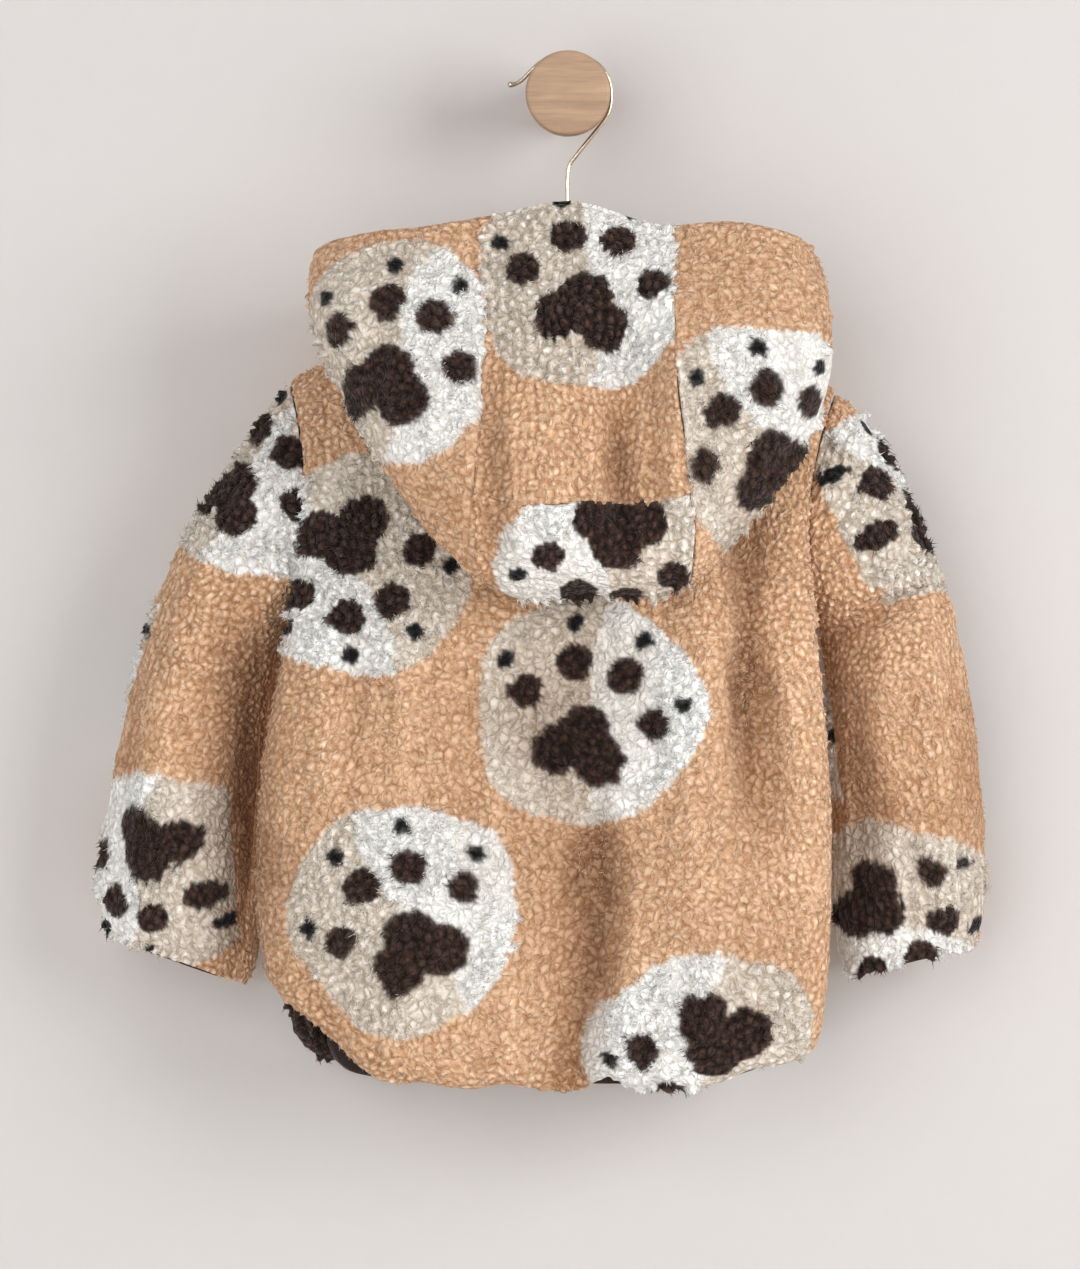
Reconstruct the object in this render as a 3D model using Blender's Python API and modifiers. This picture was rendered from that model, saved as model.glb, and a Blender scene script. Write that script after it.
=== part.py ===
"""A toddler's hooded borg-fleece jacket, hung by a wire hanger on a round wooden wall peg.

The garment hangs with its back towards -Y and its hood laid back. The wall is the plane
y = 0, +Z is up, and the origin is the centre of the peg's back face. The cut is a back, a
front, two dropped-shoulder sleeves, a hood of two sides with a crown and a nape strip
between them, and dark elastic bands inside the hem and the cuffs.

Every panel is a wall of fleece: a grid of points on the garment's outer skin, worked out
from the section tables below, and a second grid moved inwards by the wall's thickness.
Panels that meet share their seam's points and normals, and stop short of them by half
the seam gap. The tables are in millimetres.
"""

import math
from collections import namedtuple

import bmesh
import bpy
from mathutils import Vector

MM = 0.001

# Driving sizes, in millimetres.
FLEECE_WALL = 4.0
BAND_WALL = 3.0
SEAM_GAP = 0.3
NECK_HALF_WIDTH = 65.0
NECK_HALF_DEPTH = 34.0
NECK_MIDDLE_Y = -58.0
HOOK_PLANE_Y = -62.0
WIRE_RADIUS = 1.3
ARM_RADIUS = 2.5
PEG_LENGTH = 80.0
PEG_HEAD_RADIUS = 24.0
PEG_HEAD_THICKNESS = 13.0
PEG_SEAT_RADIUS = 20.6
PEG_SEAT_LENGTH = 11.0
PEG_FOOT_RADIUS = 15.0

# How each panel is divided. A shoulder, half a neck and a side seam have the same number
# of columns or rows on both panels that meet there, so that their points match.
SHOULDER_COLUMNS = 6
NECK_COLUMNS = 8
ARMHOLE_ROWS = 9
SIDE_ROWS = 9
NECK_STEP = 180.0 / NECK_COLUMNS
HOOD_COLUMNS_PER_STEP = (1, 1, 2, 2, 2, 3, 4)
STRIP_COLUMNS = 8
NORMAL_PASSES = 4
EVENING_PASSES = 4

# The body's outline in plan at each height: where its left and right sides are widest,
# how deep the widest place lies, and the depth of the middle of the back and the front.
BodyLevel = namedtuple("BodyLevel", "z left right turn back front")
BODY_LEVELS = (
    BodyLevel(-300, -156, 138, -88, -106, -16),
    BodyLevel(-340, -169, 147, -92, -110, -13),
    BodyLevel(-400, -176, 150, -96, -116, -12),
    BodyLevel(-455, -177, 150, -97, -121, -12),
    BodyLevel(-490, -173, 149, -95, -123, -13),
    BodyLevel(-520, -167, 146, -92, -122, -14),
    BodyLevel(-562, -160, 140, -88, -118, -16),
)

# The side seams, tucked in behind the body's widest place to clear the sleeves, and where
# the front is widest.
SideSeam = namedtuple("SideSeam", "z left right y front_left front_right")
SIDE_SEAMS = (
    SideSeam(-296, -156, 138, -55, -153, 135),
    SideSeam(-312, -148, 129, -56, -145, 126),
    SideSeam(-335, -145, 126, -57, -142, 123),
    SideSeam(-400, -150, 128, -60, -147, 125),
    SideSeam(-470, -152, 129, -61, -149, 126),
    SideSeam(-530, -153, 128, -61, -163, 125),
)

# The lowest line of the body, by the share of its width from the left: the height of the
# back and of the front, how high the fleece rolls up again inside to the elastic band, and
# where the band's seam lies in plan.
HemPlace = namedtuple(
    "HemPlace", "share back front rise_back rise_front seam_x seam_back seam_front"
)
HEM_LINE = (
    HemPlace(0.00, -513, -513, 12, 12, -137, -60, -60),
    HemPlace(0.10, -508, -537, 12, 9, -136, -76, -44),
    HemPlace(0.16, -518, -547, 14, 8, -127, -84, -37),
    HemPlace(0.22, -532, -550, 15, 8, -116, -90, -32),
    HemPlace(0.34, -557, -554, 16, 8, -76, -96, -28),
    HemPlace(0.50, -560, -555, 16, 8, -12, -98, -27),
    HemPlace(0.78, -554, -551, 14, 8, 92, -92, -31),
    HemPlace(0.90, -542, -544, 11, 9, 112, -78, -43),
    HemPlace(1.00, -534, -534, 12, 12, 116, -60, -60),
)

# The roll of fleece over the hem band, in steps: the share of the way in to the band's
# seam, the share of the rise to it, and how far above the lowest line the step starts.
RollStep = namedtuple("RollStep", "inward rise above")
HEM_ROLL = (
    RollStep(0.0, 0.0, 18),
    RollStep(0.12, 0.0, 5),
    RollStep(0.45, 0.0, 0),
    RollStep(0.82, 0.3, 0),
    RollStep(1.0, 1.0, 0),
)

# The sleeves, by rings from the armhole to the elastic. A ring has an outer and an inner
# end, the depth of its middle, its half depth, and how far its sides bow to the body.
SleeveRing = namedtuple("SleeveRing", "out_x out_z in_x in_z y half bow")
LEFT_SLEEVE = (
    SleeveRing(-158, -162, -156, -296, -55, 33, 9),
    SleeveRing(-181, -195, -162, -303, -54, 35, 5),
    SleeveRing(-205, -231, -165, -320, -52, 36, 2),
    SleeveRing(-228, -270, -168, -346, -50, 37, 0),
    SleeveRing(-243, -318, -170, -379, -48, 38, 0),
    SleeveRing(-255, -362, -172, -411, -47, 38, 0),
    SleeveRing(-262, -402, -174, -443, -45, 38, 0),
    SleeveRing(-265, -440, -175, -473, -43, 37, 0),
    SleeveRing(-267, -463, -176, -495, -42, 36, 0),
    SleeveRing(-260, -474, -183, -503, -42, 30, 0),
    SleeveRing(-251, -462, -191, -485, -42, 22, 0),
)
RIGHT_SLEEVE = (
    SleeveRing(152, -167, 138, -296, -55, 33, -9),
    SleeveRing(171, -186, 143, -301, -54, 35, -5),
    SleeveRing(190, -222, 145, -310, -52, 36, -2),
    SleeveRing(208, -262, 146, -324, -50, 37, 0),
    SleeveRing(222, -302, 148, -349, -48, 39, 0),
    SleeveRing(229, -341, 149, -379, -47, 39, 0),
    SleeveRing(235, -384, 150, -415, -45, 38, 0),
    SleeveRing(238, -428, 151, -454, -43, 37, 0),
    SleeveRing(238, -466, 152, -487, -42, 36, 0),
    SleeveRing(231, -481, 159, -498, -42, 30, 0),
    SleeveRing(222, -470, 168, -482, -42, 22, 0),
)
SLEEVE_ROWS = (0, 0.5, 1, 1.5, 2, 2.5, 3, 3.5, 4, 5, 6, 7, 8, 9, 10)

# The hood, by sections that fan out from the neck: 0 degrees is the middle of the back,
# 180 the middle of the front. A section stands up from the neck seam, turns over and lies
# down the back to its fold, and comes up again outside to the rim. Each place is x, y, z.
HoodSection = namedtuple("HoodSection", "angle stand inner fold roll outer rim")
HOOD_SECTIONS = (
    HoodSection(
        -180, (-1, -22, -166), (-2, -20, -160),
        (-3, -19, -155), 2, (-3, -18, -150), (-4, -18, -144),
    ),
    HoodSection(
        -135, (-48, -31, -140), (-50, -29, -133),
        (-53, -27.5, -127), 2, (-56, -26.5, -120), (-58, -26, -113),
    ),
    HoodSection(
        -112, (-63, -42, -126), (-67, -40, -119),
        (-72, -38.5, -112), 3, (-78, -38, -105), (-84, -38.5, -98),
    ),
    HoodSection(
        -90, (-69, -58, -120), (-82, -58, -116),
        (-104, -62, -122), 6, (-118, -63, -112), (-117, -61, -95),
    ),
    HoodSection(
        -67, (-64, -73, -121), (-90, -84, -126),
        (-133, -92, -148), 8, (-144, -96, -124), (-140, -88, -92),
    ),
    HoodSection(
        -56, (-58, -81, -122), (-88, -98, -138),
        (-129, -110, -165), 10, (-142, -124, -125), (-143, -108, -88),
    ),
    HoodSection(
        -45, (-50, -87, -124), (-78, -110, -160),
        (-108, -127, -202), 11, (-112, -145, -140), (-116, -122, -80),
    ),
    HoodSection(
        -33, (-38, -92, -126), (-54, -117, -180),
        (-80, -134, -247), 12, (-80, -154, -150), (-84, -125, -77),
    ),
    HoodSection(
        -22, (-27, -95, -127), (-36, -121, -190),
        (-46, -138, -279), 12, (-46, -157, -160), (-47, -125, -71),
    ),
    HoodSection(
        0, (0, -98, -128), (8, -122, -195),
        (10, -140, -284), 13, (8, -158, -165), (4, -128, -62),
    ),
    HoodSection(
        22, (27, -95, -127), (46, -121, -190),
        (65, -138, -279), 12, (58, -162, -160), (56, -124, -76),
    ),
    HoodSection(
        33, (38, -92, -126), (62, -117, -182),
        (90, -134, -256), 12, (88, -158, -150), (86, -126, -73),
    ),
    HoodSection(
        45, (50, -87, -124), (84, -110, -164),
        (117, -127, -224), 11, (118, -150, -140), (114, -123, -77),
    ),
    HoodSection(
        56, (58, -81, -122), (94, -98, -142),
        (138, -114, -188), 10, (143, -130, -132), (134, -110, -83),
    ),
    HoodSection(
        67, (64, -73, -121), (94, -84, -128),
        (143, -94, -158), 8, (148, -98, -126), (139, -90, -94),
    ),
    HoodSection(
        90, (69, -58, -120), (82, -58, -116),
        (104, -62, -123), 6, (119, -63, -113), (118, -61, -96),
    ),
    HoodSection(
        112, (63, -42, -126), (67, -40, -119),
        (72, -38.5, -112), 3, (78, -38, -105), (84, -38.5, -98),
    ),
    HoodSection(
        135, (48, -31, -140), (50, -29, -133),
        (53, -27.5, -127), 2, (56, -26.5, -120), (58, -26, -113),
    ),
    HoodSection(
        180, (1, -22, -166), (2, -20, -160),
        (3, -19, -155), 2, (3, -18, -150), (4, -18, -144),
    ),
)

# Rows along a hood section, as places on its eight points: neck 0, stand 1, inner 2, fold
# 3 to 5, outer 6, rim 7. The nape strip ends and the crown strip begins at the cross seam.
CROSS_SEAM = 5.4
NAPE_ROWS = (0, 1, 1.2, 1.45, 1.7, 2, 2.5, 3, 3.5, 4, 4.5, 5, 5.2, CROSS_SEAM)
CROWN_ROWS = (CROSS_SEAM, 5.6, 5.8, 6, 6.2, 6.4, 6.6, 6.8, 7)

# The largest folds on the side towards -Y: from and to as x, z, with the half width and
# the depth. A ridge has a positive depth and a trough a negative one.
Fold = namedtuple("Fold", "piece start end half_width depth")
FOLDS = (
    Fold("hood", (36, -150), (42, -236), 20, -15),
    Fold("hood", (57, -130), (58, -232), 14, 6),
    Fold("hood", (-38, -196), (-40, -236), 16, 8),
    Fold("hood", (-64, -190), (-58, -245), 15, -5),
    Fold("hood", (78, -196), (74, -236), 15, -5),
    Fold("hood", (-40, -262), (60, -264), 14, 7),
    Fold("body", (62, -300), (52, -430), 20, -6),
    Fold("body", (92, -290), (84, -452), 20, 6),
    Fold("body", (122, -300), (112, -420), 15, -4),
    Fold("body", (-6, -478), (-2, -550), 24, -9),
    Fold("body", (-70, -470), (-84, -540), 32, 5),
    Fold("body", (74, -480), (86, -545), 34, 4),
    Fold("sleeve", (146, -308), (201, -276), 13, -13),
    Fold("sleeve", (158, -330), (208, -298), 18, 5),
    Fold("sleeve", (-160, -330), (-176, -400), 14, -4),
)

Surface = namedtuple("Surface", "color roughness metallic")
SURFACES = {
    "camel_fleece": Surface((0.60, 0.36, 0.20), 0.95, 0.0),
    "brown_elastic": Surface((0.035, 0.018, 0.012), 0.80, 0.0),
    "pale_metal": Surface((0.72, 0.66, 0.55), 0.30, 1.0),
    "beech_wood": Surface((0.52, 0.33, 0.20), 0.55, 0.0),
}


def remove_old_objects():
    """Empty the scene."""
    for item in list(bpy.data.objects):
        bpy.data.objects.remove(item, do_unlink=True)


def new_collection(name):
    """Add a collection to the scene."""
    collection = bpy.data.collections.new(name)
    bpy.context.scene.collection.children.link(collection)
    return collection


def principled(name):
    """Return a Principled material of a named surface."""
    surface = SURFACES[name]
    material = bpy.data.materials.new(name)
    material.use_nodes = True
    shader = material.node_tree.nodes["Principled BSDF"]
    shader.inputs["Base Color"].default_value = (*surface.color, 1.0)
    shader.inputs["Roughness"].default_value = surface.roughness
    shader.inputs["Metallic"].default_value = surface.metallic
    material.diffuse_color = (*surface.color, 1.0)
    return material


def smooth(knots, values, key):
    """Return the value at a key on a smooth curve through values set at rising knots."""
    key = min(max(key, knots[0]), knots[-1])
    index = 0
    while index < len(knots) - 2 and key > knots[index + 1]:
        index += 1
    span = knots[index + 1] - knots[index]
    share = (key - knots[index]) / span
    start = slope_at(knots, values, index) * span
    end = slope_at(knots, values, index + 1) * span
    rise = share * share * (3 - 2 * share)
    pull_start = share * (1 - share) ** 2
    pull_end = -share * share * (1 - share)
    return values[index] * (1 - rise) + values[index + 1] * rise + start * pull_start + end * pull_end


def slope_at(knots, values, index):
    """Return the slope of the smooth curve at a knot."""
    low = max(index - 1, 0)
    high = min(index + 1, len(knots) - 1)
    if index in (low, high):
        return (values[high] - values[low]) / (knots[high] - knots[low])
    before = knots[index] - knots[low]
    after = knots[high] - knots[index]
    slope_before = (values[index] - values[low]) / before
    slope_after = (values[high] - values[index]) / after
    return (slope_before * after + slope_after * before) / (before + after)


def column_at(table, key_name, column_name, key):
    """Return a named column of a table at a key, smooth between its rows."""
    rows = sorted(table, key=lambda row: getattr(row, key_name))
    knots = [getattr(row, key_name) for row in rows]
    values = [getattr(row, column_name) for row in rows]
    if isinstance(values[0], tuple):
        values = [Vector(value) for value in values]
    return smooth(knots, values, key)


def through_points(points, place):
    """Return the point at a place, counted in points, of a smooth curve through points."""
    knots = [0.0]
    for index in range(1, len(points)):
        knots.append(knots[-1] + max((points[index] - points[index - 1]).length, 0.01))
    index = min(int(place), len(points) - 2)
    key = knots[index] + (knots[index + 1] - knots[index]) * (place - index)
    return smooth(knots, points, key)


def fold_offset(piece, point):
    """Return how far the folds push a point of a piece towards -Y."""
    offset = 0.0
    for fold in FOLDS:
        if fold.piece == piece:
            offset += fold.depth * fold_share(fold, point)
    return offset


def fold_share(fold, point):
    """Return the share of a fold's depth at a point, 1 on its line and fading round it."""
    start = Vector(fold.start)
    along = Vector(fold.end) - start
    place = Vector((point.x, point.z)) - start
    share = min(max(place.dot(along) / along.length_squared, 0.0), 1.0)
    distance = (place - along * share).length / fold.half_width
    return math.exp(-distance * distance)


# The garment's outer skin.


def neck_point(angle):
    """Return a corner of the neck seam at an angle that is a multiple of the neck's step."""
    turn = math.radians(angle)
    side = abs(math.sin(turn))
    back_or_front = -138.0 if math.cos(turn) > 0 else -172.0
    height = back_or_front + (-129.0 - back_or_front) * side ** 2
    return Vector((
        NECK_HALF_WIDTH * math.sin(turn),
        NECK_MIDDLE_Y - NECK_HALF_DEPTH * math.cos(turn),
        height,
    ))


def neck_edge(angle):
    """Return a point of the neck seam, on the straight runs between its corners."""
    steps = angle / NECK_STEP
    whole = math.floor(steps)
    start = neck_point(whole * NECK_STEP)
    end = neck_point((whole + 1) * NECK_STEP)
    return start.lerp(end, steps - whole)


def sleeve_point(table, place, turn):
    """Return a point of a sleeve: a turn of 0 is its outer end, and 90 faces the back."""
    rings = range(len(table))
    ring = {}
    for name in SleeveRing._fields:
        ring[name] = smooth(rings, [getattr(row, name) for row in table], place)
    outer = Vector((ring["out_x"], ring["y"], ring["out_z"]))
    inner = Vector((ring["in_x"], ring["y"], ring["in_z"]))
    across = math.cos(math.radians(turn))
    back = math.sin(math.radians(turn))
    point = (outer + inner) / 2 + (outer - inner) / 2 * across
    point.y -= ring["half"] * back
    point.x += ring["bow"] * back * back
    if back > 0:
        point.y -= fold_offset("sleeve", point) * back
    return point


def shoulder_point(share, sleeve_table, neck_angle):
    """Return a point of a shoulder seam, from the armhole at 0 to the neck at 1."""
    tip = sleeve_point(sleeve_table, 0, 0)
    point = tip.lerp(neck_point(neck_angle), share)
    point.z += 3.0 * math.sin(math.pi * share)
    return point


def top_point(column, facing):
    """Return a point of a panel's top edge: left shoulder, neck, right shoulder."""
    if column <= SHOULDER_COLUMNS:
        return shoulder_point(column / SHOULDER_COLUMNS, LEFT_SLEEVE, -90)
    if column <= SHOULDER_COLUMNS + NECK_COLUMNS:
        angle = -90 + NECK_STEP * (column - SHOULDER_COLUMNS)
        return neck_point(angle if facing == "back" else 180 - angle)
    right = SHOULDER_COLUMNS * 2 + NECK_COLUMNS - column
    return shoulder_point(right / SHOULDER_COLUMNS, RIGHT_SLEEVE, 90)


def plan_point(share, height, facing):
    """Return a point of the body's ring at a share of its width, from left to right."""
    seam = {name: column_at(SIDE_SEAMS, "z", name, height) for name in SideSeam._fields}
    level = {name: column_at(BODY_LEVELS, "z", name, height) for name in BodyLevel._fields}
    middle = (level["left"] + level["right"]) / 2
    if facing == "back":
        depth, turn = level["back"], level["turn"]
        left, right = level["left"], level["right"]
    else:
        depth, turn = level["front"], -34.0
        left, right = seam["front_left"], seam["front_right"]
    shoulder_y = depth + (turn - depth) * 0.22
    corner = 0.20 * (right - left) / 2
    outline = (
        (0.00, Vector((seam["left"], seam["y"], 0))),
        (0.10, Vector((left, turn, 0))),
        (0.22, Vector((left + corner, shoulder_y, 0))),
        (0.50, Vector((middle, depth, 0))),
        (0.78, Vector((right - corner, shoulder_y, 0))),
        (0.90, Vector((right, turn, 0))),
        (1.00, Vector((seam["right"], seam["y"], 0))),
    )
    point = smooth([place for place, _ in outline], [spot for _, spot in outline], share)
    point.z = height
    return point


def underarm_height(share):
    """Return the height of the ring of the body at the underarms."""
    left = sleeve_point(LEFT_SLEEVE, 0, 180).z
    right = sleeve_point(RIGHT_SLEEVE, 0, 180).z
    return left + (right - left) * share


def armhole_end(row, table, facing):
    """Return the point of the armhole seam where a row of the body ends."""
    turn = 180.0 * row / ARMHOLE_ROWS
    return sleeve_point(table, 0, turn if facing == "back" else -turn)


def upper_point(column, columns, row, facing):
    """Return a point of the body above the underarms."""
    share = column / columns
    drop = (1 - math.cos(math.pi * row / ARMHOLE_ROWS)) / 2
    top = top_point(column, facing)
    bottom = plan_point(share, underarm_height(share), facing)
    point = top.lerp(bottom, drop)
    neck_share = min(abs(top.y - NECK_MIDDLE_Y) / NECK_HALF_DEPTH, 1.0)
    round_over = math.sqrt(1 - (1 - drop) ** 2)
    reach = round_over + (drop - round_over) * neck_share
    point.y = top.y + (bottom.y - top.y) * reach
    return point


def pulled_to_armholes(points, row, facing):
    """Return a row of the body with its ends on the armholes and the pull fading inwards."""
    left_pull = armhole_end(row, LEFT_SLEEVE, facing) - points[0]
    right_pull = armhole_end(row, RIGHT_SLEEVE, facing) - points[-1]
    last = len(points) - 1
    pulled = []
    for column, point in enumerate(points):
        near_left = max(0.0, 1 - column / last / 0.3) ** 2
        near_right = max(0.0, 1 - (last - column) / last / 0.3) ** 2
        pulled.append(point + left_pull * near_left + right_pull * near_right)
    return pulled


def hem_height(share, facing):
    """Return the height of the lowest line of the body."""
    return column_at(HEM_LINE, "share", facing, share)


def lower_point(share, drop, facing):
    """Return a point of the body between the underarms, 0, and the top of the roll, 1."""
    top = underarm_height(share)
    bottom = hem_height(share, facing) + HEM_ROLL[0].above
    return plan_point(share, top + (bottom - top) * drop, facing)


def hem_seam_point(share, facing):
    """Return a point of the seam between the rolled fleece and the hem band."""
    x = column_at(HEM_LINE, "share", "seam_x", share)
    y = column_at(HEM_LINE, "share", "seam_" + facing, share)
    rise = column_at(HEM_LINE, "share", "rise_" + facing, share)
    return Vector((x, y, hem_height(share, facing) + rise))


def roll_point(share, step, facing):
    """Return a point of the fleece that rolls under at the hem."""
    base = lower_point(share, 1, facing)
    seam = hem_seam_point(share, facing)
    point = base.lerp(seam, step.inward)
    lowest = hem_height(share, facing)
    point.z = lowest + step.above + (seam.z - lowest) * step.rise
    return point


def body_grid(facing):
    """Return the outer skin of the back or of the front, in rows from the shoulders down."""
    columns = SHOULDER_COLUMNS * 2 + NECK_COLUMNS
    grid = []
    for row in range(ARMHOLE_ROWS + 1):
        points = [upper_point(column, columns, row, facing) for column in range(columns + 1)]
        grid.append(pulled_to_armholes(points, row, facing))
    for row in range(1, SIDE_ROWS + 1):
        drop = row / SIDE_ROWS
        grid.append([lower_point(column / columns, drop, facing) for column in range(columns + 1)])
    for step in HEM_ROLL[1:]:
        grid.append([roll_point(column / columns, step, facing) for column in range(columns + 1)])
    for _ in range(EVENING_PASSES):
        even_underarm_rows(grid)
    if facing == "back":
        fold_body(grid)
    return grid


def even_underarm_rows(grid):
    """Even out the rows round the underarms, where the upper and the lower body meet."""
    rows = range(ARMHOLE_ROWS - 3, ARMHOLE_ROWS + 4)
    evened = {}
    for row in rows:
        evened[row] = [
            (above + here * 2 + below) / 4
            for above, here, below in zip(grid[row - 1], grid[row], grid[row + 1])
        ]
    for row in rows:
        grid[row][2:-2] = evened[row][2:-2]


def fold_body(grid):
    """Push the back's inner points by the body's folds, leaving its seams where they are."""
    shares = [1.0] * (ARMHOLE_ROWS + SIDE_ROWS + 1) + [1 - step.inward for step in HEM_ROLL[1:]]
    for row, share in zip(grid[1:], shares[1:]):
        for point in row[1:-1]:
            point.y -= fold_offset("body", point) * share


def sleeve_grid(table):
    """Return the outer skin of a sleeve, in rings from the armhole to the elastic."""
    around = ARMHOLE_ROWS * 2
    return [
        [sleeve_point(table, place, 360.0 * index / around) for index in range(around)]
        for place in SLEEVE_ROWS
    ]


def hood_section(angle):
    """Return the eight points of a hood section, from the neck seam to the rim."""
    stand = column_at(HOOD_SECTIONS, "angle", "stand", angle)
    inner = column_at(HOOD_SECTIONS, "angle", "inner", angle)
    fold = column_at(HOOD_SECTIONS, "angle", "fold", angle)
    outer = column_at(HOOD_SECTIONS, "angle", "outer", angle)
    rim = column_at(HOOD_SECTIONS, "angle", "rim", angle)
    roll = column_at(HOOD_SECTIONS, "angle", "roll", angle)
    to_inner = (inner - fold).normalized()
    to_outer = (outer - fold).normalized()
    inside = (to_inner + to_outer) / 2
    across = (to_outer - to_inner).normalized()
    before = fold + (inside - across) * roll
    after = fold + (inside + across) * roll
    return [neck_edge(angle), stand, inner, before, fold, after, outer, rim]


def hood_point(angle, place):
    """Return a point of the hood at an angle round the neck and a place on its section."""
    point = through_points(hood_section(angle), place)
    outside = min(max((place - 4.2) * 1.6, 0.0), 1.0)
    behind = min(max((-100.0 - point.y) / 20.0, 0.0), 1.0)
    point.y -= fold_offset("hood", point) * outside * behind
    return point


def hood_grid(angles, places):
    """Return the outer skin of a hood panel, in rows from the neck to the rim."""
    return [[hood_point(angle, place) for angle in angles] for place in places]


def side_angles():
    """Return the angles of the left hood side's columns, from the front to its strip seam."""
    angles = [-180.0]
    for step, count in enumerate(HOOD_COLUMNS_PER_STEP):
        start = -180.0 + step * NECK_STEP
        angles += [start + NECK_STEP * (index + 1) / count for index in range(count)]
    return angles


def strip_angles():
    """Return the angles of the columns of the strip between the hood's sides."""
    return [-NECK_STEP + 2 * NECK_STEP * index / STRIP_COLUMNS for index in range(STRIP_COLUMNS + 1)]


# Walls built from the skin.

Panel = namedtuple("Panel", "name grid closed")


def garment_panels():
    """Return every panel of the garment's outer skin."""
    left = side_angles()
    right = [-angle for angle in reversed(left)]
    strip = strip_angles()
    side_places = NAPE_ROWS + CROWN_ROWS[1:]
    return [
        Panel("back", body_grid("back"), False),
        Panel("front", [list(reversed(row)) for row in body_grid("front")], False),
        Panel("sleeve_left", sleeve_grid(LEFT_SLEEVE), True),
        Panel("sleeve_right", [row[:1] + row[:0:-1] for row in sleeve_grid(RIGHT_SLEEVE)], True),
        Panel("hood_left", list(reversed(hood_grid(left, side_places))), False),
        Panel("hood_right", list(reversed(hood_grid(right, side_places))), False),
        Panel("hood_nape", list(reversed(hood_grid(strip, NAPE_ROWS))), False),
        Panel("hood_crown", list(reversed(hood_grid(strip, CROWN_ROWS))), False),
    ]


def spot(point):
    """Return a key that is the same for points that coincide."""
    return tuple(round(value, 3) for value in point)


def column_pairs(panel):
    """Return the pairs of neighbouring columns of a panel."""
    count = len(panel.grid[0])
    pairs = [(column, column + 1) for column in range(count - 1)]
    if panel.closed:
        pairs.append((count - 1, 0))
    return pairs


def panel_normals(panel):
    """Return a panel's own outward normals by spot."""
    sums = {}
    for upper, lower in zip(panel.grid, panel.grid[1:]):
        for first, second in column_pairs(panel):
            corners = (upper[first], lower[first], lower[second], upper[second])
            normal = (corners[2] - corners[0]).cross(corners[3] - corners[1])
            for corner in corners:
                key = spot(corner)
                sums[key] = sums.get(key, Vector((0, 0, 0))) + normal
    return {key: total.normalized() for key, total in sums.items()}


def skin_normals(panels):
    """Return outward normals by spot, each the mean over the panels that meet there."""
    sums = {}
    owners = {}
    for panel in panels:
        for key, normal in panel_normals(panel).items():
            sums[key] = sums.get(key, Vector((0, 0, 0))) + normal
            owners[key] = owners.get(key, 0) + 1
    normals = {key: total.normalized() for key, total in sums.items()}
    seams = {key for key, count in owners.items() if count > 1}
    links = skin_links(panels)
    for _ in range(NORMAL_PASSES):
        normals = evened_normals(normals, links, seams)
    return normals


def skin_links(panels):
    """Return each pair of neighbouring spots of the skin with its weight, near 1 if close."""
    links = {}
    for panel in panels:
        for row, points in enumerate(panel.grid):
            edges = [(points[first], points[second]) for first, second in column_pairs(panel)]
            if row:
                edges += list(zip(panel.grid[row - 1], points))
            for start, end in edges:
                distance = (end - start).length / FLEECE_WALL
                links[frozenset((spot(start), spot(end)))] = math.exp(-distance * distance)
    return links


def evened_normals(normals, links, seams):
    """Return the normals evened out between close spots, and left as they are on seams."""
    sums = dict(normals)
    for pair, weight in links.items():
        if len(pair) == 2:
            first, second = pair
            sums[first] = sums[first] + normals[second] * weight
            sums[second] = sums[second] + normals[first] * weight
    sums.update({key: normals[key] for key in seams})
    return {key: total.normalized() for key, total in sums.items()}


def inner_grid(grid, normals, wall):
    """Return a panel's grid moved inwards by the wall's thickness."""
    return [[point - normals[spot(point)] * wall for point in row] for row in grid]


def stepped_back(grid, closed):
    """Return a grid whose borders stop short of the seams by half the seam gap."""
    rows = [[point.copy() for point in row] for row in grid]
    for column in range(len(rows[0])):
        step_towards(rows, grid, (0, column), (1, column))
        step_towards(rows, grid, (-1, column), (-2, column))
    if not closed:
        for row in range(len(rows)):
            step_towards(rows, grid, (row, 0), (row, 1))
            step_towards(rows, grid, (row, -1), (row, -2))
    return rows


def step_towards(rows, grid, border, neighbour):
    """Move a border point towards its neighbour by half the seam gap."""
    start = grid[border[0]][border[1]]
    direction = (grid[neighbour[0]][neighbour[1]] - start).normalized()
    rows[border[0]][border[1]] += direction * (SEAM_GAP / 2)


def add_mesh_object(collection, name, mesh, material):
    """Add a mesh to a collection as a named object, shaded smooth."""
    mesh.materials.append(material)
    mesh.shade_smooth()
    mesh.set_sharp_from_angle(angle=math.radians(50))
    item = bpy.data.objects.new(name, mesh)
    collection.objects.link(item)
    return item


def add_wall(collection, name, outer, inner, closed, material):
    """Add a wall between an outer and an inner grid as one closed body."""
    columns = len(outer[0]) if closed else len(outer[0]) - 1
    rows = len(outer) - 1
    shape = bmesh.new()
    bmesh.ops.create_grid(shape, x_segments=columns, y_segments=rows, size=1.0)
    inner_places = {}
    for vert in shape.verts:
        column = round((vert.co.x + 1) / 2 * columns) % len(outer[0])
        row = round((1 - vert.co.y) / 2 * rows)
        vert.co = outer[row][column] * MM
        inner_places[tuple(vert.co)] = inner[row][column] * MM
    if closed:
        bmesh.ops.remove_doubles(shape, verts=shape.verts, dist=1e-7)
    extruded = bmesh.ops.extrude_face_region(shape, geom=shape.faces[:])
    for part in extruded["geom"]:
        if isinstance(part, bmesh.types.BMVert):
            part.co = inner_places[tuple(part.co)]
    bmesh.ops.triangulate(shape, faces=shape.faces)
    bmesh.ops.recalc_face_normals(shape, faces=shape.faces)
    mesh = bpy.data.meshes.new(name)
    shape.to_mesh(mesh)
    shape.free()
    return add_mesh_object(collection, name, mesh, material)


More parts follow.
